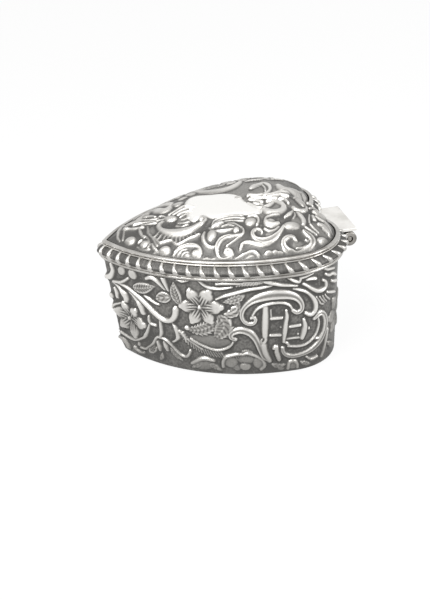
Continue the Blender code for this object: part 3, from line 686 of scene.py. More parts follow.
# Motifs of the side wall: (distance from the point, height), millimetres, then half widths
wallStems = [
    ([(3.0, 23.1), (5.5, 23.2), (8.0, 22.9), (10.2, 22.3), (12.5, 21.3), (14.5, 20.1), (16.5, 18.5),
      (18.3, 17.0), (20.0, 15.9), (21.5, 15.5), (23.0, 15.8), (24.2, 16.8), (25.0, 18.2), (25.3, 19.6)],
     (0.4, 0.45, 0.5, 0.5, 0.55, 0.65, 0.75, 0.8, 0.8, 0.8, 0.8, 0.85, 0.9, 0.95)),
    ([(3.0, 23.0), (6.0, 23.6), (8.0, 24.6), (9.8, 25.8)], (0.45, 0.55, 0.5, 0.4)),
    ([(9.5, 21.6), (11.0, 20.8), (12.5, 19.2), (13.3, 17.8), (13.7, 16.2)], (0.35, 0.5, 0.6, 0.95, 0.75)),
    ([(3.4, 28.5), (3.8, 27.0), (3.2, 25.6), (2.0, 24.3), (0.2, 23.7)], (0.5, 0.65, 0.75, 0.9, 0.7)),
    ([(2.8, 22.7), (4.6, 22.0), (6.0, 20.9), (7.4, 19.5), (7.3, 18.3)], (0.3, 0.45, 0.6, 1.25, 0.7)),
    ([(2.9, 21.0), (3.5, 19.8), (3.3, 18.2)], (0.4, 0.6, 0.5)),
    ([(17.3, 27.6), (18.8, 28.2), (20.2, 27.8), (21.5, 26.7), (22.9, 25.2)], (0.6, 0.75, 0.65, 0.5, 0.3)),
    ([(22.8, 28.9), (23.2, 27.5), (23.6, 26.2), (23.9, 25.0)], (0.75, 0.7, 0.5, 0.3)),
    ([(15.2, 21.9), (17.0, 21.2), (18.8, 20.3), (19.9, 20.1)], (0.3, 0.5, 0.4, 0.3)),
    ([(0.2, 14.0), (1.5, 15.3), (3.8, 16.4)], (0.5, 0.4, 0.3)),
    ([(15.4, 15.5), (15.4, 14.2), (16.0, 13.3), (17.4, 13.1)], (0.35, 0.5, 0.5, 0.45)),
    ([(19.4, 15.4), (19.4, 13.0), (19.2, 11.3), (18.6, 9.8)], (0.35, 0.55, 0.6, 0.5)),
    ([(23.6, 14.9), (24.5, 13.5), (24.9, 12.0), (24.6, 10.6), (23.6, 9.6), (22.9, 9.2)],
     (0.3, 0.65, 0.8, 0.75, 0.5, 0.45)),
    ([(24.8, 13.2), (26.0, 12.6), (27.0, 11.3), (27.2, 9.8)], (0.5, 0.45, 0.5, 0.4)),
    ([(1.4, 6.5), (3.0, 6.0), (5.5, 5.6), (8.0, 5.9), (10.3, 7.0), (12.2, 8.2), (13.5, 9.8), (14.4, 11.4),
      (15.0, 12.8)], (0.45, 0.5, 0.5, 0.5, 0.45, 0.5, 0.65, 0.5, 0.3)),
    ([(9.5, 3.9), (11.5, 4.1), (13.0, 5.1), (15.0, 6.6), (16.2, 8.1), (17.2, 9.3), (18.5, 9.5),
      (20.3, 9.1), (22.0, 7.8), (23.5, 6.3), (25.0, 5.1), (26.4, 5.0), (27.4, 5.9), (27.9, 7.0)],
     (0.4, 0.45, 0.45, 0.5, 0.5, 0.5, 0.5, 0.45, 0.45, 0.4, 0.45, 0.5, 0.55, 0.45)),
    ([(0.2, 4.4), (2.0, 4.4), (3.2, 3.6), (3.0, 2.4)], (0.5, 0.5, 0.5, 0.45)),
    ([(28.6, 11.0), (30.5, 10.0), (33.0, 8.9), (36.0, 8.1), (38.5, 8.6), (40.2, 9.6), (41.0, 10.7)],
     (0.35, 0.45, 0.5, 0.5, 0.5, 0.5, 0.35)),
    ([(29.0, 10.3), (30.5, 9.0), (31.9, 8.0)], (0.3, 0.45, 0.35)),
    ([(28.0, 3.2), (30.6, 4.7), (32.6, 5.1), (34.8, 4.6)], (0.6, 0.7, 0.7, 0.5)),
    ([(27.2, 29.0), (28.6, 28.5), (30.1, 29.0)], (0.45, 0.5, 0.45)),
    ([(33.2, 29.2), (34.5, 28.0), (36.0, 27.2), (38.0, 26.9), (40.0, 27.0), (42.2, 27.4)],
     (0.3, 0.45, 0.45, 0.4, 0.38, 0.3)),
    ([(38.0, 28.3), (41.0, 28.6), (44.2, 28.4)], (0.4, 0.6, 0.4)),
    ([(37.5, 23.7), (39.5, 24.6), (41.5, 25.2), (44.0, 25.9), (47.0, 26.6), (50.0, 26.9), (52.6, 27.3)],
     (0.3, 0.42, 0.48, 0.48, 0.5, 0.48, 0.35)),
    ([(39.4, 19.4), (41.3, 19.8), (42.8, 20.7), (42.9, 21.6), (41.6, 21.3)], (0.3, 0.4, 0.45, 0.4, 0.35)),
    ([(47.0, 18.9), (48.2, 20.5), (50.2, 21.6), (53.0, 22.1), (55.5, 21.8), (57.2, 20.8), (58.0, 19.4)],
     (0.4, 0.45, 0.5, 0.5, 0.45, 0.4, 0.4)),
    ([(50.1, 12.6), (50.1, 11.1), (49.4, 10.2), (48.8, 10.7), (49.2, 11.5)], (0.6, 0.6, 0.6, 0.45, 0.3)),
    ([(49.4, 9.6), (49.8, 7.0), (50.9, 4.6)], (1.0, 1.05, 0.8)),
    ([(52.2, 8.3), (52.9, 8.6), (53.0, 7.0), (53.6, 4.7)], (0.6, 0.85, 0.9, 0.75)),
    ([(55.2, 10.1), (56.0, 9.5), (56.6, 8.7)], (0.4, 0.5, 0.4)),
    ([(56.2, 8.5), (59.0, 8.0), (61.5, 8.1), (63.5, 8.9), (65.1, 10.2), (66.0, 11.8), (66.4, 13.6),
      (66.1, 15.2)],
     (0.4, 0.42, 0.42, 0.42, 0.42, 0.42, 0.42, 0.35)),
    ([(65.0, 9.0), (66.5, 8.9), (67.8, 10.0)], (0.35, 0.55, 0.5)),
    ([(51.0, 28.6), (53.0, 27.9), (55.0, 27.2), (57.0, 26.8), (59.5, 26.3)], (0.6, 0.6, 0.5, 0.45, 0.3)),
    ([(57.2, 28.9), (58.5, 27.9), (60.0, 27.4), (60.5, 28.4)], (0.4, 0.45, 0.5, 0.4)),
    ([(60.4, 28.4), (62.0, 28.5), (64.2, 29.0)], (0.4, 0.4, 0.35)),
    ([(62.3, 27.5), (63.6, 27.4), (65.1, 27.1)], (0.4, 0.45, 0.5)),
    ([(61.2, 26.5), (62.5, 25.6), (64.0, 24.4), (65.8, 23.3), (67.6, 23.0), (68.8, 23.7), (68.8, 25.0),
      (67.8, 25.8)], (0.4, 0.5, 0.6, 0.68, 0.68, 0.68, 0.6, 0.4)),
    ([(58.4, 25.6), (60.0, 25.0), (61.8, 24.1), (63.3, 22.8), (64.5, 21.2), (65.1, 19.5), (64.9, 18.0),
      (64.0, 17.0), (62.9, 17.0), (61.8, 17.7)], (0.3, 0.4, 0.45, 0.5, 0.6, 0.75, 0.8, 0.75, 0.65, 0.5)),
    ([(65.4, 21.6), (66.3, 20.3), (67.2, 19.0), (68.1, 18.6)], (0.28, 0.3, 0.32, 0.28)),
    ([(66.7, 21.2), (67.6, 20.0), (68.7, 18.8)], (0.25, 0.32, 0.28)),
    ([(67.9, 21.0), (68.6, 19.8), (69.6, 18.9)], (0.25, 0.32, 0.28)),
    ([(69.0, 20.9), (69.8, 20.0), (71.1, 18.9)], (0.25, 0.34, 0.3)),
    ([(69.8, 21.5), (72.0, 20.7), (74.2, 19.9)], (0.35, 0.5, 0.4)),
    ([(68.5, 28.9), (69.5, 28.3), (71.0, 27.9), (73.2, 27.3)], (0.4, 0.45, 0.45, 0.35)),
    ([(68.8, 27.2), (70.5, 26.3), (72.3, 26.1), (74.2, 25.0)], (0.4, 0.5, 0.55, 0.5)),
    ([(72.0, 24.0), (74.0, 23.2), (76.0, 22.6)], (0.4, 0.6, 0.4)),
    ([(56.0, 1.6), (56.5, 3.4), (57.8, 3.7), (58.7, 2.7), (58.8, 1.5)], (0.55, 0.6, 0.65, 0.6, 0.5)),
    ([(61.8, 4.1), (63.5, 3.0), (65.8, 3.2)], (0.4, 0.55, 0.5)),
    ([(67.6, 2.6), (68.6, 4.4), (69.5, 6.8), (70.4, 10.2)], (0.45, 0.5, 0.5, 0.4)),
    ([(37.4, 3.0), (37.7, 4.8), (38.6, 6.0), (40.2, 6.5), (41.8, 6.9), (42.9, 6.8)],
     (0.6, 0.65, 0.65, 0.55, 0.5, 0.35)),
    ([(43.3, 6.8), (44.8, 7.2), (46.4, 6.6), (47.9, 5.8), (49.0, 4.8), (49.3, 3.2), (48.3, 2.1)],
     (0.4, 0.6, 0.5, 0.5, 0.6, 0.7, 0.6)),
]
wallBands = [  # inner edge of the scroll on the left of its path
    ([(58.0, 19.2), (59.0, 18.5), (60.2, 18.8), (60.7, 20.0), (60.2, 21.6), (58.8, 23.1), (56.5, 24.1),
      (53.0, 24.5), (49.5, 24.0), (46.8, 22.9), (45.0, 21.3), (44.2, 19.6), (44.2, 18.1), (44.9, 16.8),
      (46.1, 16.3), (47.2, 16.5), (47.8, 17.5), (47.3, 18.3), (46.5, 18.1)],
     (0.55, 0.7, 0.8, 0.95, 1.1, 1.3, 1.5, 1.6, 1.55, 1.4, 1.2, 0.95, 0.8, 0.7, 0.65, 0.6, 0.6, 0.55,
      0.4)),
    ([(54.7, 8.1), (54.9, 6.8), (55.9, 5.7), (57.6, 5.2), (60.0, 5.3), (63.0, 5.9), (65.5, 7.0),
      (67.4, 8.5), (68.7, 10.4), (69.2, 12.4), (69.0, 14.2), (68.2, 15.6), (67.0, 16.3), (65.7, 16.0),
      (64.5, 15.3)],
     (0.6, 0.65, 0.7, 0.7, 0.7, 0.8, 0.95, 1.1, 1.15, 1.15, 1.1, 1.0, 0.9, 0.8, 0.45)),
    ([(50.9, 4.7), (49.4, 6.0), (48.5, 8.2), (47.8, 10.6), (47.0, 12.3), (45.7, 13.7), (43.8, 14.4),
      (42.0, 14.1), (40.8, 13.3), (40.7, 12.2), (41.8, 11.6)],
     (0.75, 0.85, 0.9, 0.95, 1.0, 1.1, 1.15, 1.1, 1.0, 0.8, 0.6)),
]
wallBars = [
    ([(50.6, 20.9), (50.4, 17.5), (50.1, 14.2), (50.0, 12.4)], (0.95, 1.15, 1.2, 1.05)),
    ([(56.2, 19.4), (56.3, 17.5), (55.9, 15.5), (55.7, 14.0), (55.4, 12.0), (55.1, 10.0)],
     (0.45, 0.75, 0.8, 0.95, 0.8, 0.6)),
    ([(61.2, 15.8), (61.5, 14.0), (61.1, 12.0), (60.5, 10.5)], (0.6, 1.0, 1.1, 0.9)),
    ([(52.0, 17.5), (54.9, 17.4)], (0.62, 0.55)),
    ([(52.0, 20.1), (52.0, 17.4)], (0.25, 0.35)),
    ([(51.5, 12.4), (54.3, 12.2)], (0.55, 0.55)),
    ([(57.0, 14.4), (60.0, 14.4)], (0.55, 0.55)),
    ([(56.0, 10.8), (59.6, 10.7)], (0.4, 0.4)),
]
wallLeaves = [  # path, half-width, veins, teeth
    ([(11.0, 23.4), (15.0, 24.1), (19.5, 25.5)], 1.75, 9, 0.0),
    ([(24.4, 23.2), (21.6, 22.6), (18.9, 21.5)], 1.75, 3, 0.0),
    ([(27.0, 21.0), (26.0, 24.4), (25.7, 28.0)], 1.6, 8, 0.0),
    ([(37.4, 16.8), (32.6, 14.3), (27.4, 13.6)], 2.3, 9, 0.35),
    ([(37.6, 19.2), (39.0, 15.6), (35.6, 11.0)], 2.9, 8, 0.25),
    ([(15.6, 6.4), (14.4, 4.9), (13.0, 3.7)], 1.0, 5, 0.3),
    ([(21.2, 7.0), (23.0, 5.0), (25.0, 3.1)], 1.1, 8, 0.35),
    ([(43.6, 28.3), (47.0, 28.3), (51.0, 28.2)], 0.8, 9, 0.3),
    ([(45.4, 24.9), (42.4, 23.6), (39.2, 22.8)], 1.5, 6, 0.35),
    ([(39.2, 18.9), (42.2, 20.0), (44.0, 23.0)], 1.6, 5, 0.25),
    ([(31.6, 4.0), (29.6, 2.8), (27.4, 1.5)], 0.9, 4, 0.2),
    ([(33.0, 3.6), (35.0, 2.7), (37.0, 1.4)], 0.9, 4, 0.2),
    ([(18.0, 4.4), (17.6, 3.0), (16.6, 1.8)], 0.7, 3, 0.2),
    ([(51.0, 3.4), (53.4, 2.6), (55.8, 2.9)], 0.8, 4, 0.2),
    ([(59.6, 3.0), (61.4, 2.2), (63.6, 1.6)], 0.7, 4, 0.2),
    ([(70.6, 6.0), (72.6, 4.4), (75.6, 3.2)], 1.0, 6, 0.3),
]
wallFringes = [  # path, pitch, length, lean, half width
    ([(26.4, 13.0), (28.2, 10.5), (31.2, 8.6), (34.4, 7.6), (37.4, 7.3)], 0.78, 1.9, -55, 0.36),
    ([(43.0, 27.5), (47.0, 27.9), (51.4, 28.6)], 0.75, 1.3, 38, 0.3),
    ([(40.4, 6.3), (43.4, 7.2), (46.4, 6.3)], 0.6, 1.5, -90, 0.27),
]
wallFlowers = [  # centre, petal reaches, petal directions, height
    ((32.6, 21.0), (6.0, 5.8, 5.3, 5.3, 5.2, 5.1), (3, 57, 116, 180, 240, 306), 0.95),
    ((6.9, 12.6), (6.0, 4.8, 4.6, 5.4, 5.2, 5.6), (-6, 44, 106, 170, 222, 284), 0.95),
    ((77.3, 12.9), (5.8, 5.6, 5.8, 5.8, 5.8, 5.6), (0, 60, 128, 182, 226, 300), 0.5),
]
wallBuds = [  # centre, half sizes, turn, height
    ((0.6, 17.9), (1.0, 0.9), 0, 0.75),
    ((7.5, 27.5), (1.8, 1.3), 40, 0.75),
    ((12.1, 27.6), (1.6, 1.6), 0, 0.85),
    ((7.0, 2.9), (1.0, 0.7), -30, 0.7),
    ((9.0, 4.9), (0.6, 0.9), 0, 0.7),
    ((28.0, 14.2), (1.0, 0.7), -20, 0.8),
    ((62.8, 12.8), (0.5, 0.5), 0, 0.6),
    ((54.5, 14.6), (0.3, 0.3), 0, 0.5),
    ((59.3, 11.7), (0.35, 0.35), 0, 0.5),
    ((41.4, 2.6), (1.2, 1.0), 0, 0.5),
    ((34.4, 10.5), (6.6, 2.1), -4, 0.42),
    ((31.5, 3.2), (3.6, 1.9), 8, 0.5),
    ((57.4, 2.6), (1.9, 1.5), 0, 0.6),
]
wallSeenStems = [  # path and half widths in pixels of the photo
    ([(149.5, 349), (150, 351.6), (152.5, 352.6), (155, 351), (155.4, 348)], 1.1),
    ([(157, 342), (158.6, 346), (159.5, 350.5)], (1.1, 1.6, 1.1)),
    ([(163.5, 342), (165.5, 346.5), (167, 350.5)], (1.1, 1.9, 1.2)),
    ([(134, 347), (136.5, 350), (140, 352.4), (143, 353)], 1),
    ([(121.5, 336.5), (124.6, 340), (127.6, 344), (128.5, 347)], 1),
    ([(178.5, 333), (183.6, 337), (189, 341), (195, 345.4)], 1),
]
wallSeenBuds = [  # the large blossom at the foot: centre and half sizes in pixels, height
    ((230.5, 362.5), (7, 6), 0.72),
    ((259, 363), (6.6, 6.4), 0.72),
    ((246, 360.5), (9, 4), 0.6),
    ((245, 367), (6, 4), 0.9),
    ((281, 368.8), (4, 2), 0.5),
]
wallBeads = {"path": [(43.2, 7.6), (44.6, 8.0), (46.2, 7.4)], "pitch": 0.55, "radius": 0.3, "height": 0.5}
wallSize = {
    "height": 29.2,
    "topInset": 0.9,
    "footInset": 2.7,
    "footRound": 1.2,
    "thick": 1.0,
    "flange": 0.8,
}
wallGrid = {"columns": 580, "footRows": 8, "rows": 150, "traced": (700, 160)}
wallRelief = {
    "full": 1.15,  # strokes are picked along their bright tops, and stand on wider feet
    "stem": 0.95,
    "bar": 0.9,
    "leaf": 0.72,
    "scroll": (1.0, 0.42, 0.4),  # height, rim and how far the outer rim leads
    "sink": 0.3,
    "seam": 0.075,
    "pointSwell": 0.6,
    "pointReach": 3.0,
    "footFade": 0.9,
    "topFade": 0.4,
    "topSinkFade": 0.6,
    "tracedRise": 0.35,
    "punches": (3, 6),  # seed of the draw, and softening passes
    "brightness": ((0.0, 4.0, 11.0, 19.0), (0.42, 0.56, 0.82, 0.95)),  # heights, and the brightness of the tops there: painted shade, darker towards the foot
}
insideShade = 0.62  # plain undersides of the embossed sheet


def wallInset(z):
    share = (z - wallSize["footRound"]) / (wallSize["height"] - wallSize["footRound"])
    return wallSize["footInset"] + (wallSize["topInset"] - wallSize["footInset"]) * share


def traceWall():  # what was picked out on the photo, as it lies on the unrolled wall
    columns, rows = wallGrid["traced"]
    s, z = np.meshgrid(np.linspace(0.0, halfLength, columns), np.linspace(0.0, wallSize["height"], rows))
    x, y = outline(s, wallRelief["tracedRise"] - wallInset(z))
    tracer = makeTracer(np.stack([x, y, z], -1), np.stack([s, z], -1))
    stems = [traceStroke(tracer, *stem) for stem in wallSeenStems]
    buds = [traceBud(tracer, centre, size) + (height,) for centre, size, height in wallSeenBuds]
    return stems, buds


tracedStems, tracedBuds = traceWall()


def drawWall(field):
    for points, radii in wallStems + tracedStems:
        drawStem(field, points, np.asarray(radii) * wallRelief["full"], wallRelief["stem"])
    for points, radii in wallBands:
        drawBand(field, points, radii, *wallRelief["scroll"])
    for points, radii in wallBars:
        drawStem(field, points, radii, wallRelief["bar"])
    for points, width, veins, teeth in wallLeaves:
        drawLeaf(field, points, width, wallRelief["leaf"], veins, teeth)
    for points, pitch, length, lean, radius in wallFringes:
        drawFringe(field, points, pitch, length, lean, radius)
    for centre, reaches, angles, height in wallFlowers:
        drawFlower(field, centre, reaches, angles, height)
    for centre, size, turn, height in wallBuds + tracedBuds:
        drawBud(field, centre, size, turn, height)
    drawBeads(field, *wallBeads.values())


def buildWall(name, side, node):
    turn = np.linspace(0.0, math.pi / 2, wallGrid["footRows"], endpoint=False)
    footInset = wallSize["footInset"] + wallSize["footRound"] * (1 - np.sin(turn))
    footZ = wallSize["footRound"] * (1 - np.cos(turn))
    wallZ = np.linspace(wallSize["footRound"], wallSize["height"], wallGrid["rows"])
    rowZ = np.r_[footZ, wallZ]
    inset = np.r_[footInset, wallInset(wallZ)]
    s = np.linspace(0.0, halfLength, wallGrid["columns"])
    u, z = np.meshgrid(s, rowZ)
    field = newField(u, z)
    drawWall(field)
    drawn = chasedGround(softened(field["h"].reshape(u.shape), 1), *wallRelief["punches"])
    below = wallSize["height"] - z
    footFade = within(z / wallRelief["footFade"])
    fade = footFade * within(below / wallRelief["topFade"])
    height = skirted(drawn) * fade
    # painted shade: tops darker towards the foot, where less light falls
    wornAndShaded = wornAndShadedLevel(drawn * fade) * np.interp(z, *wallRelief["brightness"])
    sink = wallRelief["sink"] * footFade * within(below / wallRelief["topSinkFade"])
    pointReach = wallRelief["pointReach"]
    swell = np.exp(-((u / pointReach) ** 2)) * within(z / pointReach)
    x, y = outline(u, height - inset[:, None] - sink + swell * wallRelief["pointSwell"])
    seam = wallRelief["seam"]
    x = np.maximum(x, seam)
    outer = np.stack([x * side, y, z], -1)
    flange = wallSize["footInset"] + wallSize["footRound"]
    insideRows = [
        (wallSize["topInset"] + wallSize["thick"], wallSize["height"]),
        (wallSize["footInset"] + wallSize["thick"], wallSize["footRound"]),
        (flange, wallSize["thick"]),
        (flange + wallSize["flange"], wallSize["thick"]),
        (flange + wallSize["flange"], 0.0),
    ]
    inner = []
    for insideInset, level in insideRows:
        ix, iy = outline(s, -insideInset)
        inner.append(np.stack([np.maximum(ix, seam) * side, iy, np.full(len(s), level)], -1))
    grid = np.concatenate([outer, np.stack(inner)])
    rows, columns = grid.shape[:2]
    faces = gridFaces(rows, columns, closedRows=True)
    faces.append([i * columns for i in range(rows)])
    faces.append([i * columns + columns - 1 for i in range(rows)])
    piece = makePiece(name, grid.reshape(-1, 3), faces, embossedSilver, "box", [node])
    setWornAndShaded(piece, np.concatenate([wornAndShaded, np.full((len(insideRows), columns), insideShade)]))


buildWall("rightWallRelief", 1, "right_wall")
buildWall("leftWallRelief", -1, "left_wall")
print("walls embossed")

# Motifs of the lid as picked out on the photo: path and half widths, in its pixels
lidStems = [
    ([(163.5, 221), (160, 223.5), (158.8, 226), (161, 229.3), (166, 231.4), (172, 232.2), (178, 232),
      (185, 230.8), (192, 228.2), (198, 225), (203, 221.3), (205.5, 218.5), (204, 216), (201, 215.8)],
     (0.7, 1.5, 2, 2.4, 2.8, 3.2, 3.3, 3.1, 2.7, 2.1, 1.6, 1.3, 1, 0.8)),
    ([(165, 216), (161, 215.5), (158, 217), (159, 219), (163, 219)], 0.6),
    ([(176, 225), (182, 225.6), (188, 223.5)], 0.5),
    ([(178, 222.6), (184, 222), (189, 220.8)], 0.5),
    ([(181, 219.5), (185, 218.5), (188.5, 217)], 0.5),
    ([(180, 216.5), (183, 215), (187, 213)], 0.5),
    ([(169, 214.5), (176, 210.5), (183, 206.5), (188, 205.4)], 0.7),
    ([(173, 214.8), (180, 210.8), (187, 208), (192.5, 206.6)], 0.8),
    ([(178, 214.5), (184, 212), (189.5, 210.6)], 0.7),
    ([(147, 212.4), (153, 209.8), (160, 210), (166, 209), (170, 206.4)], (0.8, 1.6, 1.9, 1.8, 1)),
    ([(160.5, 204.6), (165, 203.4), (171, 204)], (1, 1.8, 1.4)),
    ([(161, 203.2), (167, 200), (174, 196.6), (181, 194)], 0.7),
    ([(168, 200.7), (174, 198), (178, 196.7)], 0.6),
    ([(134, 217.8), (138, 215.4), (141, 213.9)], 0.6),
    ([(139, 218), (143, 215.5), (147, 213.7)], 0.6),
    ([(133, 222.5), (140, 220.6), (148, 219.5), (156, 218.5)], 0.6),
    ([(134, 224.5), (141, 222.6), (150, 221.4), (157.5, 220.2)], 0.6),
    ([(141, 224.6), (148, 223.4), (156, 222)], 0.55),
    ([(144, 217.5), (149, 216), (155, 215.6)], 0.5),
    ([(123.5, 225.8), (119.8, 229), (117.8, 233), (117.8, 237), (119.5, 240)],
     (0.8, 1.2, 1.4, 1.2, 0.8)),
    ([(124.5, 229), (123.5, 234), (122.5, 239.5)], 0.8),
    ([(128, 224.4), (134, 222.2), (140, 219.7)], 0.6),
    ([(124.5, 228.6), (131, 228.3), (138, 227.6), (143, 226.5)], 0.8),
    ([(139.5, 228), (140.3, 231.5), (142, 234.5), (144, 237)], (1.2, 1.5, 1.3, 0.9)),
    ([(147.5, 225.5), (147.8, 229.5), (148.6, 233), (151.5, 236), (154, 240), (157, 244.5)], 0.85),
    ([(144.5, 235), (147.5, 237.5), (149, 239.8)], 0.7),
    ([(153.5, 236), (156.5, 239), (159.5, 241.5), (163, 241), (168, 239.8), (171.5, 239.8), (174, 242),
      (177.5, 243.2), (181, 242), (185, 240), (190, 237.2), (195, 235.5), (199, 233.6)], 1),
    ([(148.5, 240), (149.5, 243.5), (147.5, 247)], 0.8),
    ([(137, 246), (140, 248.2), (145, 248.8), (149, 248)], 0.8),
    ([(138.5, 241.5), (141.5, 239.5)], 0.8),
    ([(152, 243), (153.5, 246.5), (156, 249), (158, 251.5)], (1.2, 1.5, 1.4, 1)),
    ([(155.5, 248.5), (155, 251), (153, 252.5)], 0.8),
    ([(176.5, 257), (178.5, 253), (182, 249.5), (186.5, 248.5)], 0.8),
    ([(181, 257), (182.5, 253.5), (185.5, 251.5), (188, 252)], 0.8),
    ([(204.5, 231.5), (203, 236), (203.8, 240.5), (206.8, 244.5), (211, 246.2), (216, 245.8)],
     (1, 1.8, 2, 1.7, 1.3, 0.9)),
    ([(209, 227), (211.5, 229.5)], 0.6),
    ([(212, 224), (214, 220.6), (219, 218), (226, 216.4), (234, 215.6), (242, 215.2)], 0.8),
    ([(214.5, 222.8), (220, 219.8), (228, 217.9), (236, 217.2), (244, 217.6)], 0.7),
    ([(221, 222), (228, 220), (236, 219.6), (243, 219.8)], 0.6),
    ([(213, 226.5), (217, 224.2), (222, 222.5)], (1.4, 2.2, 1.2)),
    ([(216, 230), (222, 230), (229, 229), (233, 227.6)], (0.8, 1.1, 1, 0.6)),
    ([(222, 225.6), (228, 224), (234, 225)], 0.7),
    ([(228, 222.6), (234, 222.6), (239, 225)], 0.7),
    ([(249, 216.2), (254, 215.2), (257.6, 216.8), (258.4, 220), (256.8, 223.6)], 1.1),
    ([(238.5, 224.6), (242, 226.6), (243.6, 230), (241.6, 233.6), (236.5, 238), (230.5, 242.4),
      (226.5, 245)], (0.7, 0.8, 1, 1.1, 1, 0.8, 0.5)),
    ([(264.5, 227.5), (269, 229.8), (274.6, 229), (279, 226)], 0.9),
    ([(279, 213.8), (272, 214.4), (267, 216.2), (265.4, 219.4), (268, 222.8), (274, 224), (278, 222.4)],
     (0.6, 0.8, 1, 1.4, 2.2, 2.3, 1.3)),
    ([(268, 200.4), (274, 200.6), (280, 202.4), (283.4, 205.6), (282.6, 209), (277, 211.2), (270, 211),
      (264.5, 209)], (0.8, 1.2, 1.8, 2.2, 2.4, 2.2, 2.2, 1.6)),
    ([(264, 207), (269, 205), (273, 202.6)], (1, 1.5, 1)),
    ([(250, 199), (256, 199.8), (262, 201.4)], 0.8),
    ([(254, 203), (259, 203.6), (263, 205)], 0.7),
    ([(248, 202.4), (252, 204), (258, 206.6), (262, 207)], 0.7),
    ([(252, 196.8), (259, 197.6), (268, 197.4), (276, 198)], 0.8),
    ([(265, 194.8), (272, 193.6), (280, 191.4), (287, 192)], 0.7),
    ([(268, 196), (275, 195), (281, 194.4), (287, 195.4)], 0.7),
    ([(280, 198.2), (285, 199), (288.6, 202)], 0.8),
    ([(263, 193.6), (267, 192), (269.8, 188.4), (269.2, 185), (266, 182.6), (262, 181.8)],
     (0.7, 1, 1.3, 1.4, 1.2, 0.8)),
    ([(251, 187.4), (255, 184.6), (260, 183)], (1.2, 1.8, 1.2)),
    ([(262.6, 184), (265, 186.6), (265.4, 190)], 0.8),
    ([(249, 194.6), (256, 195.2), (262, 194.6)], 0.8),
    ([(197, 190.6), (204, 190.5), (213, 190.1), (223, 188.7), (231, 186.2), (237, 182.8),
      (239.6, 180.8)], (0.8, 1.2, 1.4, 1.6, 1.7, 1.6, 1)),
    ([(278, 184.2), (283, 187.6), (290, 189.8), (297, 191.6), (304, 194)], (1.2, 1.9, 2, 1.7, 1)),
    ([(298, 195.6), (303, 197), (306, 199.6)], 1),
    ([(306.5, 206.4), (306, 209.6), (301, 210.6), (296, 209.4), (293.4, 207.4)], 1.3),
    ([(309, 203.6), (312.6, 205.4)], 1),
    ([(310.6, 200.6), (312.8, 203)], 0.8),
    ([(310, 208.2), (314.4, 208.8)], 0.8),
    ([(315.6, 212), (319.6, 214.4), (324, 216.8)], (1, 1.5, 1)),
    ([(303.6, 224), (303.4, 219.6), (300.6, 215.4), (297, 212)], (1.8, 2.2, 1.8, 1)),
    ([(285, 215.8), (289.6, 213.2), (292.5, 210.6)], (0.9, 1.5, 1)),
    ([(293.4, 217.6), (295, 214.6), (294.6, 212)], 0.9),
    ([(309.4, 214), (309, 218.6), (309.6, 222)], 1),
    ([(313, 216), (315, 219.6)], 1.3),
    ([(306, 226.6), (311, 230), (316, 233.6)], 0.9),
    ([(310.5, 223.6), (314, 227.6), (318, 231.6)], 0.8),
    ([(316.5, 216.8), (321, 219.8), (325.6, 223), (329, 227)], 0.8),
    ([(320, 224.6), (324, 226.8), (327, 230.8), (329.6, 234.6)], (1.4, 2.2, 2.2, 1.2)),
    ([(325.8, 224.8), (329, 228.8), (332, 233)], 0.8),
    ([(297, 247.2), (302, 247), (307, 244.6)], 0.9),
    ([(306, 238.8), (308, 240.6), (309.4, 238)], 0.9),
    ([(234, 259.2), (239, 256.4), (245, 253.8), (250, 251.4), (254.6, 251.2), (258.4, 254),
      (259.2, 257.6)], (0.8, 1.4, 1.8, 1.6, 1.6, 1.6, 1)),
    ([(246, 258.4), (249.6, 256), (253.4, 255.4)], 0.9),
    ([(203, 258.6), (207, 256.8)], 0.7),
    ([(206, 259.2), (210, 257.8)], 0.7),
    ([(211, 258.8), (214.6, 257.4)], 0.7),
]
lidFringe = [  # both ends of each stroke
    ((158, 232), (155, 236)),
    ((161, 234), (158, 238.4)),
    ((164.5, 235.4), (162.5, 239.8)),
    ((168, 236), (167, 239.4)),
    ((172, 236.2), (171.5, 239.6)),
    ((176, 236.2), (176, 241.6)),
    ((179.5, 236), (180, 241.4)),
    ((183, 235.6), (184, 239.6)),
    ((187, 234.8), (188.5, 238)),
    ((191, 233.6), (192.5, 236.4)),
    ((195, 232.2), (196.5, 234.8)),
]
lidBands = [
    ([(172, 256.5), (174.5, 252.5), (178.5, 248.5), (183, 246), (189, 244.6), (195, 245), (199, 247.5),
      (200.5, 251.5), (199.5, 255.5), (196.5, 257.5)], (1, 1.1, 1.2, 1.3, 1.5, 1.5, 1.5, 1.4, 1.2, 1)),
    ([(240.5, 234), (234, 235), (227, 236.2), (221.5, 238.8), (218, 243), (216.8, 248), (217.4, 253),
      (219.6, 257), (224, 258.6), (229, 257.8), (232, 255), (232, 251.2), (229, 248.6), (225.6, 249.2),
      (224.6, 252)], (0.6, 0.9, 1.3, 1.7, 2, 2, 1.9, 1.8, 1.6, 1.5, 1.3, 1.2, 1.2, 1, 0.8)),
    ([(262, 231.6), (260.6, 229), (257.4, 228.4), (254, 229.8), (252.4, 233), (254.6, 237),
      (259.5, 239.6), (266, 240), (272.5, 238), (277.5, 234), (281, 229.4), (283.5, 225.6)],
     (0.6, 0.9, 1.1, 1.4, 1.7, 2.2, 2.6, 2.6, 2.2, 1.6, 1.2, 1)),
    ([(240.6, 248.6), (241.4, 244.6), (244, 242.4), (249, 241.8), (255, 243), (261, 244.6), (267, 244),
      (272, 241.4)], (0.8, 1.1, 1.2, 1.3, 1.4, 1.3, 1.1, 0.8)),
    ([(296, 239.6), (293.6, 236.4), (289, 236), (285, 238.4), (283.4, 242), (285, 247), (289.4, 251.4),
      (295, 253), (301.4, 251.6), (307.6, 248.4), (312, 244), (313, 240), (311, 236.4), (307.6, 233.4),
      (304.4, 230.6)], (0.9, 1.3, 1.6, 2, 2.2, 2.6, 3, 3.1, 2.8, 2.4, 2.2, 2, 2, 2, 1.2)),
]
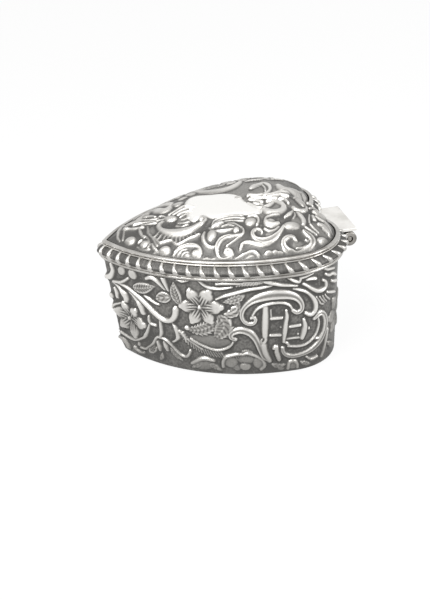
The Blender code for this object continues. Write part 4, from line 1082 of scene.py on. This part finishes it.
lidBuds = [  # centre and half sizes
    ((170, 217.8), (7.2, 2.9)), ((201.5, 217.8), (2.9, 2.3)), ((182.5, 197.2), (2.6, 2)),
    ((177, 203.5), (4.5, 3)), ((191, 192.8), (3.4, 1.6)), ((129.8, 239.8), (5.5, 4.4)),
    ((144, 243.5), (4.5, 4.2)), ((164.5, 249.5), (6.2, 5.2)), ((186.5, 255.3), (3.4, 2.9)),
    ((195.5, 252.5), (4.9, 4.4)), ((211.5, 234), (5.2, 6.2)), ((236, 229), (3.6, 3.4)),
    ((250.5, 220.5), (6.2, 4)), ((228, 252.4), (3.9, 3.6)), ((270, 221), (5.9, 3.4)),
    ((296.5, 197.6), (1.6, 1.8)), ((300.5, 207.3), (3.9, 2.1)), ((292, 224.6), (9.1, 4.2)),
    ((323, 240), (6, 4.2)), ((269, 252.6), (4.9, 3.6)), ((275.5, 252.2), (3.4, 3.6)),
    ((280, 253), (4.2, 3.6)), ((274.6, 257.4), (3.1, 2.3)), ((268.6, 257.6), (2.6, 1.7)),
    ((287, 257), (3.4, 2.3)), ((237.5, 197.4), (4.7, 2.1)),
]
lidMounds = [  # low swellings under the scrolls: centre, half sizes, and height in millimetres
    ((152, 229.5), (6, 5.5), 0.42),
    ((184, 219), (7, 6), 0.4),
    ((226, 224), (14, 5), 0.4),
    ((247, 256), (9, 4), 0.4),
    ((272, 233), (7, 4), 0.4),
    ((278, 206), (9, 6), 0.45),
    ((264, 198), (15, 3.5), 0.4),
    ((299, 222), (7, 8), 0.42),
    ((186, 252), (11, 5), 0.4),
    ((318, 228), (9, 9), 0.4),
    ((300, 244), (8, 6), 0.3),
]
lidSize = {
    "rimInset": 2.1,
    "rimTop": 34.5,
    "rise": 6.8,
    "pointFull": 3.6,
    "lobeFull": 4.6,
    "centreY": 10.0,
    "round": 24.0,
    "thick": 0.9,
}
lidGrid = {
    "stations": 760,
    "rings": 122,
    "ringPower": 1.25,
    "inner": (1.0, 0.85, 0.6, 0.3),  # shares of the way out of the underside's rings
    "traced": (420, 160),
    "tracedPower": 1.2,
}
lidRelief = {
    "full": 1.5,  # as on the wall
    "stem": 0.95,
    "scroll": (0.98, 0.36, 0.3),
    "bud": 0.85,
    "fringe": 0.7,  # half width in pixels
    "sink": 0.15,
    "rimFade": 0.03,
    "tracedRise": 0.45,
    "punches": (5, 4),
    "mirrorEdge": -13.0,  # beyond it nothing is seen, and the near side is mirrored
    "farSink": ((-10.0, 0.0), (0.5, 1.0)),  # lower on the far side, as along its edge in the photo
    "brightness": ((0.4, 0.7, 0.95), (0.93, 0.78, 0.68)),  # shares of the way out, and the brightness of the tops there: painted shade, darker towards the rim
    "dim": ((0.45, 0.85), (-0.18, 0.15)),  # the same for the ground: painted shade, darkest at the rim and lightened towards the middle
    "dimTop": 0.3,  # none on what stands this high
}
cartouche = {  # burnished shield: its border in pixels, and how it stands up in millimetres
    "border": [
        (186, 199.5), (184.6, 204), (188.6, 206.6), (189.6, 210.6), (186.5, 214.5), (188.6, 218.4),
        (192.4, 220.6), (198, 219), (205, 216.6), (214, 217), (228, 215), (242, 213.8), (254, 213.6),
        (261.4, 211.5), (262, 208), (254, 204.8), (247, 201), (243.6, 198.6), (240, 195.6), (236, 193.2),
        (224, 192), (210, 193.2), (197, 194.2), (189.5, 196.6), (186, 199.5),
    ],
    "edge": 2.0,
    "height": 0.6,
    "lap": 0.1,  # what stands this much above it lies over it
    "brightness": (1.2, 0.42),  # brightness well inside it, and its fall towards the border
    "apexRub": 0.97,
}


# Place on the right half at a length round the rim and a share of the way out to it
def domeSpot(along, share):
    x, y = outline(along, -lidSize["rimInset"])
    dy = y - lidSize["centreY"]
    spoke = np.hypot(x, dy)
    grow = (share + lidSize["round"] * (1 - share) / spoke) * share
    full = lidSize["pointFull"] + (lidSize["lobeFull"] - lidSize["pointFull"]) * (0.5 + 0.5 * dy / spoke)
    z = lidSize["rimTop"] + lidSize["rise"] * (1 - share**full)
    return x * grow, lidSize["centreY"] + dy * grow, z


def domeGrid(stations, shares):  # the whole dome, ring by ring
    x, y, z = domeSpot(*np.meshgrid(np.linspace(0.0, halfLength, stations), shares))
    x[:, 0] = 0.0
    x[:, -1] = 0.0
    return bothSides(x, -1), bothSides(y), bothSides(z)


def traceLid():  # everything that was picked out on the photo, as it lies on the dome
    stations, rings = lidGrid["traced"]
    x, y, z = domeGrid(stations, 1 - np.linspace(0.0, 0.999, rings) ** lidGrid["tracedPower"])
    tracer = makeTracer(np.stack([x, y, z + lidRelief["tracedRise"]], -1), np.stack([x, y], -1))
    middles = [np.round(np.mean(ends, 0), 1) for ends in lidFringe]  # pixels are picked to a tenth
    fringe = [([a, middle, b], lidRelief["fringe"]) for (a, b), middle in zip(lidFringe, middles)]
    buds = [bud + (lidRelief["bud"],) for bud in lidBuds] + lidMounds
    return {
        "stems": [traceStroke(tracer, *stem) for stem in lidStems + fringe],
        "bands": [traceStroke(tracer, *scroll) for scroll in lidBands],
        "buds": [traceBud(tracer, centre, size) + (height,) for centre, size, height in buds],
        "border": tracer(cartouche["border"]),
    }


lidTraced = traceLid()


def drawLidMotifs(field):
    for points, radii in lidTraced["stems"]:
        drawStem(field, points, radii * lidRelief["full"], lidRelief["stem"])
    for points, radii in lidTraced["bands"]:
        drawBand(field, points, radii * lidRelief["full"], *lidRelief["scroll"])
    for centre, size, turn, height in lidTraced["buds"]:
        drawBud(field, centre, size, turn, height)


def plainShare(x, y):  # 1 on the border of the shield, falling inwards and rising outwards
    signed = measure(newField(x, y), lidTraced["border"], 100.0)[2]
    return (1 - signed / cartouche["edge"]).reshape(x.shape)


def drawLid(x, y):  # the side that is seen, and its mirror image where nothing is seen
    far = newField(-x, y)
    drawLidMotifs(far)
    far["h"][x.ravel() > lidRelief["mirrorEdge"]] = 0.0
    near = newField(x, y)
    drawLidMotifs(near)
    height = np.maximum(far["h"], near["h"]).reshape(x.shape)
    reach = plainShare(x, y)
    plate = cartouche["height"] * (1 - within(reach) ** 3)
    return np.where(reach < 1, np.maximum(height, plate), height), reach


def buildLid():
    share = 1 - np.linspace(0.0, 1.0, lidGrid["rings"] + 1)[:-1] ** lidGrid["ringPower"]
    x, y, z = domeGrid(lidGrid["stations"] // 2 + 1, share)
    drawn, reach = drawLid(x, y)
    drawn = softened(drawn, 1, True)
    ornate = reach > 1
    drawn = np.where(ornate, chasedGround(drawn, *lidRelief["punches"]), drawn)
    ringShare = np.broadcast_to(share[:, None], x.shape)
    fade = within((1 - ringShare) / lidRelief["rimFade"])
    height = skirted(drawn, True) * fade
    # painted shade: tops and ground darker towards the rim
    wornAndShaded = wornAndShadedLevel(drawn * fade, True) * np.interp(ringShare, *lidRelief["brightness"])
    wornAndShaded -= np.interp(ringShare, *lidRelief["dim"]) * within(1 - drawn / lidRelief["dimTop"])
    bright, fall = cartouche["brightness"]
    rubbed = within(bright - fall * reach)
    level = np.where(ornate | (height > cartouche["height"] + cartouche["lap"]), wornAndShaded, rubbed)
    height = height * np.interp(x, *lidRelief["farSink"])
    outer = np.stack([x, y, z + height - lidRelief["sink"] * fade], -1)
    inner = np.stack(domeGrid(lidGrid["stations"] // 2 + 1, lidGrid["inner"]), -1)
    inner = inner - (0.0, 0.0, lidSize["thick"])
    grid = np.concatenate([inner[::-1], outer])
    rows, columns = grid.shape[:2]
    faces = gridFaces(rows, columns, closedColumns=True)
    apex = lidSize["rimTop"] + lidSize["rise"]
    points = np.vstack(
        [
            grid.reshape(-1, 3),
            [0.0, lidSize["centreY"], apex - lidSize["thick"]],
            [0.0, lidSize["centreY"], apex + cartouche["height"] - lidRelief["sink"]],
        ]
    )
    under = rows * columns
    last = (rows - 1) * columns
    for j in range(columns):
        k = (j + 1) % columns
        faces.append([j, k, under])
        faces.append([last + j, last + k, under + 1])
    piece = makePiece("lidDomeRelief", points, faces, embossedSilver, "lid", ["lid_dome"])
    shade = np.concatenate([np.full((len(lidGrid["inner"]), columns), insideShade), level])
    setWornAndShaded(piece, np.r_[shade.ravel(), insideShade, cartouche["apexRub"]])


buildLid()
print("lid embossed")

# Border of the lid: ovolo ground, slanting gadroon ribs and two plain fillet wires
band = {
    "floor": 30.9,
    "height": 2.4,
    "bulge": 1.2,
    "full": 0.75,
    "topInset": 0.6,
    "ledge": 0.9,
    "ledgeReach": 1.2,
    "bore": -0.9 - float(wallInset(24.2)),  # clears the bezel inside
    "solder": 0.3,
    "wire": 1.2,
}
bandLook = dict(embossedLook, recess="#565553", middle="#807E7B", raised="#C9C7C3", roughRecess=0.6)
bandSilver = makeEmbossedSilver("tarnishedBandSilver", bandLook)
gadroon = {
    "perSide": 27,
    "radius": 0.82,
    "slantStart": 16.0,
    "slantEnd": 62.0,
    "sink": 0.12,
    "lineSteps": 240,
    "belly": 0.42,  # where the rib stands out most, as a share of its height
    "shade": 0.64,
}
bandGround = {"faceSteps": 15, "perSide": 420, "marks": (0.02, 0.2)}


def bandFace(share):
    swell = band["bulge"] * math.sin(math.pi * share ** band["full"])
    return swell - band["topInset"] * share**2, band["floor"] + band["height"] * share


def buildBandGround():
    profile = [bandFace(share) for share in np.linspace(0.0, 1.0, bandGround["faceSteps"])]
    ledge = band["topInset"] + band["wire"] + band["solder"] + band["ledgeReach"]
    top = band["floor"] + band["height"]
    profile += [(-ledge, top), (-ledge, top - band["ledge"])]
    profile += [(band["bore"], top - band["ledge"]), (band["bore"], band["floor"])]
    perSide = bandGround["perSide"]
    piece = makeRing("gadroonGround", profile, bandSilver, "lid", ["gadroon_band"], perSide)
    marks = np.random.default_rng(7).uniform(*bandGround["marks"], perSide * 2)  # upright tool marks
    setWornAndShaded(piece, np.tile(marks, len(profile)))


def gadroonTree():
    tree = bpy.data.node_groups.new("gadroonRibs", "GeometryNodeTree")
    inputs = {"Geometry": "Geometry", "Count": "Int", "Finish": "Material"}
    inputs.update({name: "Float" for name in ("Radius", "Slant Start", "Slant End")})
    inputs.update({name: "Vector" for name in ("Foot", "Belly", "Top")})
    for name, kind in inputs.items():
        tree.interface.new_socket(name, in_out="INPUT", socket_type="NodeSocket" + kind)
    tree.interface.new_socket("Geometry", in_out="OUTPUT", socket_type="NodeSocketGeometry")

    def add(kind, values, links, **settings):
        return addNode(tree, kind, values, links, **settings).outputs

    entry = addNode(tree, "NodeGroupInput").outputs
    spots = add("GeometryNodeCurveToPoints", {}, {"Curve": entry["Geometry"], "Count": entry["Count"]})
    ends = {"Start": entry["Foot"], "Middle": entry["Belly"], "End": entry["Top"]}
    spine = add("GeometryNodeCurveQuadraticBezier", {"Resolution": 12}, ends)
    run = addNode(tree, "GeometryNodeSplineParameter").outputs["Factor"]
    rounding = addMath(tree, "MULTIPLY_ADD", {1: 7.0, 2: 0.04}, {0: run})  # round foot, narrow top
    capped = addMath(tree, "MINIMUM", {1: 1.0}, {0: rounding})
    foot = addMath(tree, "POWER", {1: 0.5}, {0: capped})
    narrowing = addMath(tree, "MULTIPLY_ADD", {1: -0.5, 2: 1.0}, {0: run})
    taper = addMath(tree, "MULTIPLY", {}, {0: foot, 1: narrowing})
    thick = add("GeometryNodeSetCurveRadius", {}, {"Curve": spine["Curve"], "Radius": taper})
    section = add("GeometryNodeCurvePrimitiveCircle", {"Resolution": 12}, {"Radius": entry["Radius"]})
    sweep = {"Curve": thick["Curve"], "Profile Curve": section["Curve"], "Scale": taper}
    rib = add("GeometryNodeCurveToMesh", {"Fill Caps": True, "Scale": 1.0}, sweep)
    tangent = {"Vector": spots["Tangent"]}
    face = add("FunctionNodeAlignRotationToVector", {}, tangent, axis="Y", pivot_axis="Z")
    slants = {"From Max": entry["Count"], "To Min": entry["Slant Start"], "To Max": entry["Slant End"]}
    slants["Value"] = addNode(tree, "GeometryNodeInputIndex").outputs["Index"]
    slant = add("ShaderNodeMapRange", {"From Min": 0.0}, slants)
    lean = add("ShaderNodeCombineXYZ", {}, {"X": slant["Result"]})
    turns = {"Rotation": face["Rotation"], "Rotate By": lean["Vector"]}
    leaning = add("FunctionNodeRotateRotation", {}, turns, rotation_space="LOCAL")
    copies = {"Points": spots["Points"], "Instance": rib["Mesh"], "Rotation": leaning["Rotation"]}
    ribs = add("GeometryNodeInstanceOnPoints", {}, copies)
    solid = add("GeometryNodeRealizeInstances", {}, {"Geometry": ribs["Instances"]})
    smooth = add("GeometryNodeSetShadeSmooth", {}, {"Geometry": solid["Geometry"]})
    finish = {"Geometry": smooth["Geometry"], "Material": entry["Finish"]}
    finished = add("GeometryNodeSetMaterial", {}, finish)
    addNode(tree, "NodeGroupOutput", {}, {"Geometry": finished["Geometry"]})
    return tree


def evaluatedMesh(holder, name):
    depsgraph = bpy.context.evaluated_depsgraph_get()
    mesh = bpy.data.meshes.new_from_object(holder.evaluated_get(depsgraph), depsgraph=depsgraph)
    mesh.name = name
    bpy.data.objects.remove(holder)
    return mesh


def buildGadroons():
    tree = gadroonTree()
    pitch = halfLength / gadroon["perSide"]
    middle = band["floor"] + band["height"] / 2
    foot, belly, top = (bandFace(share) for share in (0.0, gadroon["belly"], 1.0))
    foot, belly, top = ((offset - gadroon["sink"], z) for offset, z in (foot, belly, top))
    work = bmesh.new()
    for side in (1, -1):
        line = bpy.data.curves.new("gadroonLine", "CURVE")
        line.dimensions = "3D"
        s = np.linspace(pitch * 0.5, halfLength - pitch * 0.5, gadroon["lineSteps"])
        x, y = outline(s, 0.0)
        spline = line.splines.new("POLY")
        spline.points.add(len(s) - 1)
        flat = np.stack([x * side, y, np.full(len(s), middle), np.full(len(s), 1 / mm)], -1) * mm
        spline.points.foreach_set("co", flat.ravel())
        holder = addObject("gadroonLine", line)
        modifier = holder.modifiers.new("gadroonRibs", "NODES")
        modifier.node_group = tree
        values = {
            "Count": gadroon["perSide"],
            "Radius": gadroon["radius"] * mm,
            "Slant Start": math.radians(gadroon["slantStart"]),
            "Slant End": math.radians(gadroon["slantEnd"]),
            "Foot": (side * foot[0] * mm, 0.0, (foot[1] - middle) * mm),
            "Belly": (side * (2 * belly[0] - (foot[0] + top[0]) / 2) * mm, 0.0, 0.0),
            "Top": (side * top[0] * mm, 0.0, (top[1] - middle) * mm),
            "Finish": embossedSilver,
        }
        for item in tree.interface.items_tree:
            if item.in_out == "INPUT" and item.name in values:
                modifier[item.identifier] = values[item.name]
        mesh = evaluatedMesh(holder, "gadroonRibs")
        work.from_mesh(mesh)
    bmesh.ops.recalc_face_normals(work, faces=work.faces)
    ribs = bpy.data.meshes.new("gadroonRibs")
    work.to_mesh(ribs)
    work.free()
    ribs.shade_smooth()
    piece = addPiece("gadroonRibs", ribs, embossedSilver, "lid", [])
    setWornAndShaded(piece, np.full(len(ribs.vertices), gadroon["shade"]))


buildBandGround()
buildGadroons()


halfRound = {"turn": 1.4, "steps": 9}  # radians to each side of straight out


# Outward half-rounds stacked from the foot up, each by the height of its middle, its radius and offset
def beadedEdge(beads):
    edge = []
    for z, radius, offset in beads:
        for turn in np.linspace(-halfRound["turn"], halfRound["turn"], halfRound["steps"]):
            edge.append((offset + radius * math.cos(turn), z + radius * math.sin(turn)))
    return edge


lowerFillet = {"floor": 29.5, "top": 30.9, "beads": ((29.92, 0.4, -0.1), (30.62, 0.24, -0.1))}
upperFillet = {
    "beads": ((33.5, 0.26, -0.85), (34.2, 0.42, -1.0)),
    "back": [(-1.3, 34.66), (-1.7, 34.6), (-1.85, 34.3), (-1.85, 33.3)],
}
lowerSection = [(band["bore"], lowerFillet["floor"])] + beadedEdge(lowerFillet["beads"])
lowerSection.append((band["bore"], lowerFillet["top"]))
upperSection = beadedEdge(upperFillet["beads"]) + upperFillet["back"]
makeRing("lowerFillet", lowerSection, plainSilver, "lid", ["lower_fillet_wire"])
makeRing("upperFillet", upperSection, plainSilver, "lid", ["upper_fillet_wire"])
print("lid border made")

# Plain inside: base plate and the bezel that the lid closes over
bezel = {"outside": band["bore"] - 0.4, "thick": 0.7, "floor": 24.2, "top": 31.8, "round": 0.25}
base = {"inset": 5.0, "thick": 1.0}
bezelSection = [
    (bezel["outside"], bezel["floor"]),
    (bezel["outside"], bezel["top"]),
    (bezel["outside"] - bezel["thick"], bezel["top"]),
    (bezel["outside"] - bezel["thick"], bezel["floor"]),
]
softSection = roundedProfile(bezelSection, bezel["round"])
makeRing("innerBezel", softSection, innerSilver, "box", ["body_bezel"])
basePlan = list(zip(*fullOutline(-base["inset"])))
makePrism("basePlate", basePlan, 0.0, base["thick"], innerSilver, "box", ["base_plate"], sharp=40)

# Hinge standing in the cleft: lid leaf, body leaf, five knuckles and the pin
hinge = {
    "width": 17.8,
    "edgeY": 38.1,
    "axisY": 36.1,
    "axisZ": 28.2,
    "knuckle": 2.0,
    "bore": 0.92,
    "pin": 0.8,
    "leaf": 0.8,
    "gap": 0.3,
    "clear": 1.45,  # outside the heart, past the swelling border
    "count": 5,
    "soft": 0.18,  # rounded ends of the knuckles and the pin
    "bevel": 0.16,
    "pinShort": 0.2,
    "pinCore": 0.001,  # closes the ends of the pin
    "roundSteps": 48,
}


def leafPlan(offset, edgeY):  # straight back edge, front edge along the heart at an offset
    radius = heart["lobeRadius"] + offset
    start = math.acos((hinge["width"] / 2 - lobeCentre[0]) / radius)
    plan = [(hinge["width"] / 2, edgeY)]
    for angle in np.linspace(start, leaveLobe, 16):
        plan.append((lobeCentre[0] + radius * math.cos(angle), lobeCentre[1] + radius * math.sin(angle)))
    cleftR = heart["cleftRadius"] - offset
    for angle in np.linspace(leaveLobe - math.pi, -math.pi / 2, 6)[1:]:
        plan.append((cleftR * math.cos(angle), cleftY + cleftR * math.sin(angle)))
    return plan + [(-x, y) for x, y in reversed(plan[:-1])]


def buildLeaf(name, plan, floor, material, body, node):
    piece = makePrism(name, plan, floor, floor + hinge["leaf"], material, body, [node], sharp=35)
    bevel = piece.modifiers.new("softEdge", "BEVEL")
    bevel.width = hinge["bevel"] * mm
    bevel.segments = 3
    bevel.limit_method = "ANGLE"


def buildTube(name, start, end, radius, bore, body, node, slot):
    soft = hinge["soft"]
    section = [(start, bore), (start, radius - soft), (start + soft, radius)]
    section += [(end - soft, radius), (end, radius - soft), (end, bore)]
    steps = hinge["roundSteps"]
    turn = np.linspace(0.0, 2 * math.pi, steps, endpoint=False)
    y, z = np.cos(turn), np.sin(turn)
    loops = []
    for x, r in section:
        loop = [np.full(steps, x), hinge["axisY"] + r * y, hinge["axisZ"] + r * z]
        loops.append(np.stack(loop, -1))
    faces = gridFaces(len(section), steps, closedRows=True, closedColumns=True)
    makePiece(name, np.concatenate(loops), faces, knuckleSilver, body, [node], sharp=50)


def buildHinge():
    plan = leafPlan(hinge["clear"], hinge["edgeY"])
    leafFloor = hinge["axisZ"] + hinge["knuckle"] + hinge["gap"]
    buildLeaf("lidLeaf", plan, leafFloor, plateSilver, "lid", "lid_hinge_leaf")
    leafTop = hinge["axisZ"] + hinge["leaf"] / 2
    edgeY = hinge["axisY"] - hinge["knuckle"] - hinge["gap"]
    plan = leafPlan(hinge["gap"] - float(wallInset(leafTop)), edgeY)
    buildLeaf("bodyLeaf", plan, leafTop - hinge["leaf"], knuckleSilver, "box", "body_hinge_leaf")
    length = (hinge["width"] - hinge["gap"] * (hinge["count"] - 1)) / hinge["count"]
    for i in range(hinge["count"]):
        start = -hinge["width"] / 2 + i * (length + hinge["gap"])
        body, word = ("lid", "lid") if i % 2 else ("box", "body")
        name = f"{word}Knuckle{i // 2 + 1}"
        node = f"{word}_knuckle_{i // 2 + 1}"
        ends = (start, start + length)
        buildTube(name, *ends, hinge["knuckle"], hinge["bore"], body, node, "polished_silver")
    end = hinge["width"] / 2 - hinge["pinShort"]
    buildTube("hingePin", -end, end, hinge["pin"], hinge["pinCore"], "box", "hinge_pin", "drawn_wire")


buildHinge()
print("inside and hinge made")


# Camera at the photo's angle, soft lamps, a pale floor and a plain world
def buildCamera():
    right, up, back, eye = cameraAxes()
    lens = bpy.data.cameras.new("photoCamera")
    lens.sensor_width = view["sensor"]
    lens.lens = view["focalPixels"] / max(view["frame"]) * lens.sensor_width
    lens.clip_start, lens.clip_end = view["clip"]
    camera = addObject("photoCamera", lens)
    place = Matrix((right, up, back)).transposed().to_4x4()
    place.translation = Vector(eye)
    camera.matrix_world = place
    bpy.context.scene.camera = camera


lamps = {
    "key": {"azimuth": 40.0, "elevation": 52.0, "distance": 0.45, "size": 0.28, "watts": 2.2},
    "top": {"azimuth": 100.0, "elevation": 84.0, "distance": 0.40, "size": 0.26, "watts": 0.35},
    "side": {"azimuth": 150.0, "elevation": 28.0, "distance": 0.50, "size": 0.20, "watts": 1.2},
}
lampAim = (0.0, 0.0, 0.02)


def buildLights():
    for name, lamp in lamps.items():
        way = Vector(wayTo(lamp["azimuth"], lamp["elevation"]))
        light = bpy.data.lights.new(name + "Softbox", "AREA")
        light.shape = "SQUARE"
        light.size = lamp["size"]
        light.energy = lamp["watts"]
        holder = addObject(name + "Softbox", light)
        holder.location = Vector(lampAim) + way * lamp["distance"]
        holder.rotation_euler = way.to_track_quat("Z", "Y").to_euler()


def plainSight(tree):  # what the camera sees straight on or through a reflection
    path = addNode(tree, "ShaderNodeLightPath").outputs
    mirror = addMath(tree, "MAXIMUM", {}, {0: path["Is Camera Ray"], 1: path["Is Glossy Ray"]})
    return addMath(tree, "MAXIMUM", {}, {0: mirror, 1: path["Is Transmission Ray"]})


worldLook = {"strengths": (0.3, 0.8), "heights": (-0.2, 0.9)}  # dimmer below, brighter above


def buildWorld():
    world = bpy.data.worlds.new("studio")
    world.use_nodes = True
    bpy.context.scene.world = world
    tree = world.node_tree
    tree.nodes.clear()
    place = addNode(tree, "ShaderNodeTexCoord").outputs["Generated"]
    split = addNode(tree, "ShaderNodeSeparateXYZ", {}, {"Vector": place})
    rise = addRange(tree, split.outputs["Z"], *worldLook["strengths"], *worldLook["heights"])
    seen = addNode(tree, "ShaderNodeMix", {"B": 1.0}, {"Factor": plainSight(tree), "A": rise}).outputs[0]
    shine = addNode(tree, "ShaderNodeBackground", {"Color": (1.0, 1.0, 1.0, 1.0)}, {"Strength": seen})
    addNode(tree, "ShaderNodeOutputWorld", {}, {"Surface": shine.outputs["Background"]})


floorLook = {"colour": "#E8E8E8", "rough": 0.9, "white": 0.93, "reach": 1.2, "drop": 0.00005}


def buildFloor():
    material, tree, shader = startMaterial("paleStudioFloor")
    shader.inputs["Metallic"].default_value = 0.0
    shader.inputs["Base Color"].default_value = linearColour(floorLook["colour"])
    shader.inputs["Roughness"].default_value = floorLook["rough"]
    share = addMath(tree, "MULTIPLY", {1: floorLook["white"]}, {0: plainSight(tree)})
    white = addNode(tree, "ShaderNodeEmission", {"Color": (1.0, 1.0, 1.0, 1.0), "Strength": 1.0})
    layers = {"Fac": share, 1: shader.outputs["BSDF"], 2: white.outputs["Emission"]}
    mix = addNode(tree, "ShaderNodeMixShader", {}, layers)
    tree.links.new(mix.outputs["Shader"], tree.nodes["Material Output"].inputs["Surface"])
    mesh = bpy.data.meshes.new("studioFloor")
    reach = floorLook["reach"]
    corners = [(-reach, -reach, 0), (reach, -reach, 0), (reach, reach, 0), (-reach, reach, 0)]
    mesh.from_pydata(corners, [], [(0, 1, 2, 3)])
    mesh.materials.append(material)
    floor = addObject("studioFloor", mesh)
    floor.location.z = -floorLook["drop"]


buildCamera()
buildLights()
buildWorld()
buildFloor()
bpy.context.scene.view_settings.view_transform = "Standard"

bpy.context.view_layer.update()
